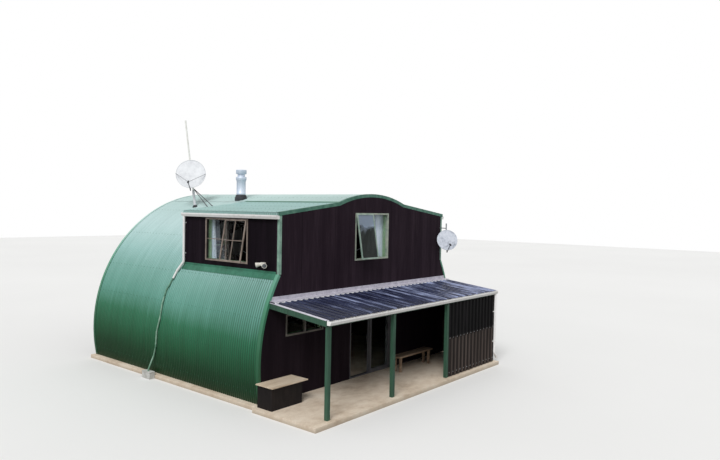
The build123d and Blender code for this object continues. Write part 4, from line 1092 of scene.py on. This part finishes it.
# %% [markdown]
# ## Curtains
#
# White cotton curtains hang on a rail inside, drawn to the side of each opening. A curtain is
# flat cloth gathered into pleats, so it is made in code: a grid of points whose rows wave in and
# out, tightly at the rail and wider near the hem, and whose edge swings back towards the jamb.

# %% Rails and curtains
rail_radius = 0.009
hem_level = 3.22
end_level = 4.56
dormer_level = 4.33
pleat_depth = 0.018
pleat_spread = 0.014
pleat_lean = 0.006
cloth_gauge = 0.0012


def curtain(name, put, top, foot, height, depth, pleats):
    columns, rows = pleats * 10, 22
    points, faces = [], []
    for row in range(rows + 1):
        down = row / rows
        near = top[0] + (foot[0] - top[0]) * down**1.4
        far = top[1] + (foot[1] - top[1]) * down**1.4
        for column in range(columns + 1):
            share = column / columns
            wave = sin(2 * pi * pleats * share + 0.9 * sin(3 * down + 5 * share))
            swell = pleat_depth + pleat_spread * down
            u = near + (far - near) * share + pleat_lean * sin(4 * pi * pleats * share)
            v = height[1] - (height[1] - height[0]) * down
            points.append(put(u, v, depth + swell * wave))
    for row in range(rows):
        for column in range(columns):
            first = row * (columns + 1) + column
            faces.append((first, first + 1, first + columns + 2, first + columns + 1))
    mesh = bpy.data.meshes.new(name)
    mesh.from_pydata(points, [], faces)
    cloth = bpy.data.objects.new(name, mesh)
    bpy.context.scene.collection.objects.link(cloth)
    middle = rows // 2 * (columns + 1)
    line = [Vector(points[middle + column]) for column in range(columns + 1)]
    width = sum((b - a).length for a, b in zip(line, line[1:]))
    modify(cloth, "SOLIDIFY", thickness=cloth_gauge, offset=0)
    dress(cloth, curtain_cotton, smooth=60)
    width, length = round(width, 2), round(height[1] - height[0], 2)
    print(name, "cut", width, "wide and", length, "long")


def hang_curtain(name, put, reach, level, depth, top, foot):
    rail = bar(name + "_rail", put(reach[0], level, depth), put(reach[1], level, depth), rail_radius)
    dress(rail, rainwater_white, smooth=40)
    curtain(name, put, top, foot, (hem_level, level - rail_radius), depth, 5)


hang_curtain("gable_curtain", on_front, (-0.80, 0.86), end_level, 0.215, (0.31, 0.80), (0.50, 0.80))
for name, put in (("left", on_left), ("right", on_right)):
    hang_curtain(
        name + "_dormer_curtain", put, (1.05, 2.86), dormer_level, 0.225, (2.68, 2.82), (2.62, 2.82)
    )
hang_curtain("rear_curtain", on_rear, (-0.84, 0.84), end_level, 0.235, (-0.80, 0.02), (-0.80, -0.02))

# %% [markdown]
# ## Screws
#
# Roofing screws go through the crests of the curved sheets at every second wave and through the
# ribs of the verandah roof over each batten. The screens are fixed through their pans. One screw
# is modelled, copied to the start of each row, stood on the surface, and repeated along the row.

# %% Rows of screws
small_screw = screw("screw")
bright_screw = screw("bright_screw", washer=0.012, head=0.0055)
screw_gap = 2 * wave_pitch
screw_margin = 0.03
screw_sink = 0.0006
dormer_screws = 23
roof_ribs = 39
screen_pans = 14
end_pans = 10


def screw_row(piece, place, outward, step, count):
    return row_of(copy_of(piece, aimed(place, outward)), step, count)


def arch_rows(name, angles, front, rear, paint):
    rows = []
    first = screw_gap * (int(front / screw_gap) + 1)
    count = int((rear - screw_margin - first) / screw_gap) + 1
    for angle in angles:
        turn = radians(angle)
        out = Vector((cos(turn), 0, sin(turn)))
        place = out * (crest - screw_sink) + Vector((0, first, arch_centre))
        rows.append(screw_row(small_screw, place, out, (0, screw_gap, 0), count))
    dress(join(name, rows), paint, smooth=30)


side_rows = (-8, 4, 16, 28)
crown_rows = (44, 60, 76, 104, 120, 136)
front_crown_rows = (76, 104)
dormer_lines = (1.75, 2.4, 3.0, 3.48)
arch_rows("arch_screws_right", side_rows, 0, arch_length, screw_green)
arch_rows("arch_screws_left", [180 - angle for angle in side_rows], 0, arch_length, screw_green)
arch_rows("crown_screws_rear", crown_rows, dormer_length, arch_length, screw_green)
arch_rows("crown_screws_front", front_crown_rows, 0, dormer_length, screw_green)
for side, name in both_sides:
    out = Vector((side * roof_slope, 0, 1)).normalized()
    rows = []
    for reach in dormer_lines:
        place = Vector((side * reach, screw_gap, roof_level(reach) - 2 * screw_sink))
        rows.append(screw_row(small_screw, place, out, (0, screw_gap, 0), dormer_screws))
    dress(join("dormer_screws_" + name, rows), screw_green)

verandah_middle = -0.03
verandah_fall = 0.10755
crest_level = 2.4788
screen_face = -1.8265
end_wall_face = 3.6863
end_wall_middle = -0.9125
batten_lines = (-0.28, -1.02, -1.74)
screen_levels = (0.22, 1.17)
roof_up = Vector((0, -verandah_fall, 1)).normalized()
first_rib = verandah_middle - (roof_ribs // 2) * rib_pitch
rows = []
for y in batten_lines:
    place = (first_rib, y, crest_level + verandah_fall * y)
    rows.append(screw_row(bright_screw, place, roof_up, (rib_pitch, 0, 0), roof_ribs))
dress(join("verandah_roof_screws", rows), screw_dark)
rows = []
for level in screen_levels:
    place = (screen_middle - (screen_pans - 1) / 2 * rib_pitch, screen_face, level)
    rows.append(screw_row(bright_screw, place, (0, -1, 0), (rib_pitch, 0, 0), screen_pans))
    place = (end_wall_face, end_wall_middle - (end_pans - 1) / 2 * rib_pitch, level)
    rows.append(screw_row(bright_screw, place, (1, 0, 0), (0, rib_pitch, 0), end_pans))
dress(join("screen_screws", rows), screw_bright)
for spare in (small_screw, bright_screw):
    bpy.data.objects.remove(spare)

# %% [markdown]
# ## Verandah trim
#
# A pale folded capping covers the sheet's raw edge along each barge. It lies on the outer pan and
# turns down over the barge board. Small pipe clips hold the downpipe to the corner of the screen,
# and straps cross the gutters.

# %% Barge cappings
steel_edge = 0.0006
wall_line = Vector((0, 0, 2.45))
tipped_over = Matrix.Rotation(atan2(verandah_fall, 1), 4, "X")
pitch_turn = Matrix.Translation(wall_line) @ tipped_over @ Matrix.Translation(-wall_line)
for name, outer, inner, gauge in (("left", -3.8022, -3.782, 0.0018), ("right", 3.7422, 3.722, -0.0018)):
    title = "barge_cap_" + name
    parts = [
        board(title, (outer, -1.86, 2.4512), (inner, -0.19, 2.4532), steel_edge),
        board(title, (outer, -1.79, 2.434), (outer + gauge, -0.02, 2.4526), steel_edge),
        board(title, (inner - 0.001, -1.86, 2.4522), (inner + 0.001, -0.19, 2.466), steel_edge),
    ]
    dress(moved(join(title, parts), pitch_turn), pale_flashing)

# %% Pipe clips, spout nozzles and gutter straps
pipe_line = (3.6738, -1.86)
clip_levels = (0.72, 1.62)
lug_half = 0.014
clips = []
for level in clip_levels:
    put_down()
    bpy.ops.mesh.primitive_torus_add(
        major_radius=0.0365, minor_radius=0.0035, major_segments=28, minor_segments=8,
        location=(*pipe_line, level),
    )
    ring = settle(bpy.context.object, "pipe_clips")
    near = (3.592, -1.845, level - lug_half)
    lug = board("pipe_clips", near, (3.642, -1.8275, level + lug_half), 0.004)
    clips += [ring, lug]
dress(join("pipe_clips", clips), gutter_white, smooth=40)

mouth = Vector((3.672, 3.819, 2.871))
nozzle_end = Vector((3.747, 3.869, 2.684))
strap_half = 0.012
dormer_strap_lines = [0.3 + 0.52 * index for index in range(7)]
verandah_strap_lines = [-3.6 + 0.595 * index for index in range(13)]
for side, name in both_sides:
    turned_way = Vector((side, 1, 1))
    nozzle = bar("spout_nozzle_" + name, mouth * turned_way, nozzle_end * turned_way, 0.0275, sides=24)
    dress(nozzle, rainwater_white, smooth=40)
    straps = []
    for y in dormer_strap_lines:
        near = (side * 3.512, y - strap_half, 4.4545)
        straps.append(board("gutter_straps", near, (side * 3.628, y + strap_half, 4.4565), steel_edge))
    dress(join("gutter_straps_" + name, straps), rainwater_white)

straps = []
for x in verandah_strap_lines:
    near = (x - strap_half, -1.915, 2.2478)
    straps.append(board("verandah_straps", near, (x + strap_half, -1.805, 2.2496), steel_edge))
dress(join("verandah_straps", straps), gutter_white)

# %% [markdown]
# ## Flue and dishes
#
# The flue, its rubber boot and the dishes are round, as they are spun or pressed on the real
# hut. Each grows from a circle: the ring is pushed up and scaled to the next radius of its
# profile, again and again. That is turning on a lathe, done with two operators.

# %% Turned pieces
def turned(name, profile, sides=48):
    put_down()
    radius, level = profile[0]
    foot = (0, 0, level)
    bpy.ops.mesh.primitive_circle_add(vertices=sides, radius=radius, fill_type="NGON", location=foot)
    piece = settle(bpy.context.object, name)
    choose_all(piece)
    for wide, high in profile[1:]:
        bpy.ops.mesh.extrude_region_move(TRANSFORM_OT_translate={"value": (0, 0, high - level)})
        bpy.ops.transform.resize(value=(wide / radius, wide / radius, 1), center_override=(0, 0, high))
        radius, level = wide, high
    bpy.ops.mesh.select_all(action="SELECT")
    bpy.ops.mesh.normals_make_consistent(inside=False)
    put_down()
    return piece


flue_profile = (
    (0.132, 4.568), (0.135, 4.572), (0.135, 5.02), (0.139, 5.026), (0.139, 5.046),
    (0.135, 5.052), (0.135, 5.405), (0.139, 5.412), (0.158, 5.472), (0.158, 5.532),
    (0.154, 5.5395), (0.116, 5.5405), (0.112, 5.546), (0.112, 5.625), (0.154, 5.6305),
    (0.158, 5.637), (0.158, 5.742), (0.15, 5.753), (0.08, 5.759), (0.01, 5.7603),
)
boot_profile = (
    (0.1365, 4.875), (0.182, 4.878), (0.182, 4.903), (0.172, 4.912), (0.165, 4.93),
    (0.168, 4.94), (0.156, 4.95), (0.159, 4.962), (0.149, 4.972), (0.151, 4.998),
    (0.137, 5.0003),
)
flue_place = Matrix.Translation((-1.2, 4.17, 0))
flue = moved(turned("flue_turned", flue_profile), flue_place)
dress(flue, flue_steel, smooth=35, stands_for=["flue_pipe"])
boot = moved(turned("flue_boot_ribs", boot_profile), flue_place)
dress(boot, black_rubber, smooth=35)

# %% Pressed dishes
dish_gauge = 0.0024
dish_normal = Vector((-0.6738, -0.6857, 0.2756)).normalized()


def pressed_dish(name, node_name, back, radius, depth, paint):
    shares = (0.02, 0.15, 0.3, 0.45, 0.6, 0.75, 0.88, 0.965)
    profile = [(radius * share, 0.0002 + depth * share**2) for share in shares]
    profile += [(radius * 0.985, depth), (radius * 0.994, depth * 0.985), (radius * 0.996, depth * 0.93)]
    piece = turned(name, profile, sides=64)
    face_out(piece, upward)
    modify(piece, "SOLIDIFY", thickness=dish_gauge, offset=1)
    moved(piece, aimed(back, dish_normal))
    dress(piece, paint, smooth=40, stands_for=[node_name])


roof_dish_back = Vector((-1.9744, 5.6073, 5.6001))
side_dish_back = Vector((3.319, -0.322, 3.713))
pressed_dish("roof_dish_bowl", "roof_dish", roof_dish_back, 0.45, 0.075, dish_white)
pressed_dish("side_dish_bowl", "side_dish", side_dish_back, 0.325, 0.055, dish_grey)

# %% The mast's socket and boot
mast_foot = Vector((-1.82, 5.6, 4.6239))
mast_run = Vector((-0.078, 0.095, 1)).normalized()
socket_foot, socket_head = (mast_foot + mast_run * share for share in (0.03, 0.5))
socket = bar("mast_socket", socket_foot, socket_head, 0.039, sides=24, edge=0.15)
dress(socket, dish_white, smooth=40)
boot_rings = ((0.075, -0.02), (0.078, 0.012), (0.06, 0.022), (0.054, 0.04), (0.042, 0.046))
mast_boot = moved(turned("mast_boot", boot_rings, 32), aimed(mast_foot, mast_run))
dress(mast_boot, black_rubber, smooth=40)

# %% [markdown]
# ## Small fittings
#
# The floodlights get their bezels and lenses, the sashes their stays and catches, and the sliding
# leaf its pull handle, which moves with the leaf.

# %% Floodlight faces
lens_profile = ((0.051, 0.0006), (0.046, 0.004), (0.03, 0.008), (0.004, 0.0095))
lamp_middle = 0.52
lamp_spread = 0.062
lamp_depth = 0.12
for turn, name in ((-1, "front"), (1, "rear")):
    run = Vector((-0.75, turn * 0.8, -0.25)).normalized()
    face = Vector((-3.555, lamp_middle + turn * lamp_spread, 3.28)) + run * lamp_depth
    aim = aimed(face, run)
    put_down()
    bpy.ops.mesh.primitive_torus_add(
        major_radius=0.0555, minor_radius=0.0055, major_segments=32, minor_segments=8, location=(0, 0, 0)
    )
    bezel = moved(settle(bpy.context.object, "lamp_bezel_" + name), aim)
    dress(bezel, lamp_white, smooth=50)
    lens = moved(turned("lamp_lens_" + name, lens_profile, 32), aim)
    dress(lens, lamp_lens, smooth=50)

# %% Stays, catches and the pull handle
stay_radius = 0.004
gable_stay_lines = (-0.732, -0.056)
dormer_stay_lines = (1.155, 1.935)
stays = []
for x in gable_stay_lines:
    stays.append(bar("gable_stays", (x, 0.01, 3.52), (x, -0.165, 3.60), stay_radius, sides=8))
stays.append(board("gable_stays", (-0.41, -0.238, 3.292), (-0.37, -0.2, 3.304), 0.002))
dress(join("gable_stays", stays), galvanised, smooth=40)
for side, name in both_sides:
    stays = []
    for y in dormer_stay_lines:
        stays.append(bar("stays", (side * 3.5, y, 3.5), (side * 3.63, y, 3.56), stay_radius, sides=8))
    dress(join("dormer_stays_" + name, stays), galvanised, smooth=40)

grip_line = (-0.045, 0.131)
leg_foot = 0.1085
pull = [bar("pull_handle", (*grip_line, 0.96), (*grip_line, 1.18), 0.008, sides=16)]
for level in (0.985, 1.155):
    pull.append(bar("pull_handle", (grip_line[0], leg_foot, level), (*grip_line, level), 0.007, sides=12))
dress(join("pull_handle", pull), dark_steel, body="door_leaf", smooth=40)

# %% [markdown]
# ## Light and floor
#
# A plain studio: an even pale sky, one very soft lamp from the upper left, and a pale floor
# that keeps the shadow. Camera, mirror and glass rays see plain white.

# %% Studio
world = bpy.data.worlds.new("Studio")
bpy.context.scene.world = world
world.use_nodes = True
sky = world.node_tree
sky.nodes.clear()
paths = node("LightPath", {}, sky)
seen = maths("MAXIMUM", paths.outputs["Is Camera Ray"], paths.outputs["Is Glossy Ray"])
seen = maths("MAXIMUM", seen, paths.outputs["Is Transmission Ray"])
power = span(seen, 0, 1, 0.6, 1.0)
backdrop = node("Background", {"Color": (1, 1, 1, 1), "Strength": power})
node("OutputWorld", {"Surface": backdrop.outputs[0]})

sun_data = bpy.data.lights.new("Soft sun", "SUN")
sun_data.energy = 1.9
sun_data.angle = radians(25)
sun = bpy.data.objects.new("Soft sun", sun_data)
bpy.context.scene.collection.objects.link(sun)
sun_from = Vector((-0.9, -0.42, 0.92))
sun.rotation_euler = sun_from.to_track_quat("Z", "Y").to_euler()

put_down()
bpy.ops.mesh.primitive_grid_add(x_subdivisions=4, y_subdivisions=4, size=160, location=(0, 0, 0))
floor = settle(bpy.context.object, "Floor")
floor_material, place = new_finish("Floor")
pale = ramp(cloudy(place, 0.05), (0.3, (0.82, 0.82, 0.81, 1)), (0.7, (0.86, 0.86, 0.85, 1)))
rays = node("LightPath", {}, floor_material.node_tree)
tint = blend(rays.outputs["Is Camera Ray"], (0.3, 0.3, 0.29, 1), pale)
close_finish(tint, 0.9)
floor.data.materials.append(floor_material)
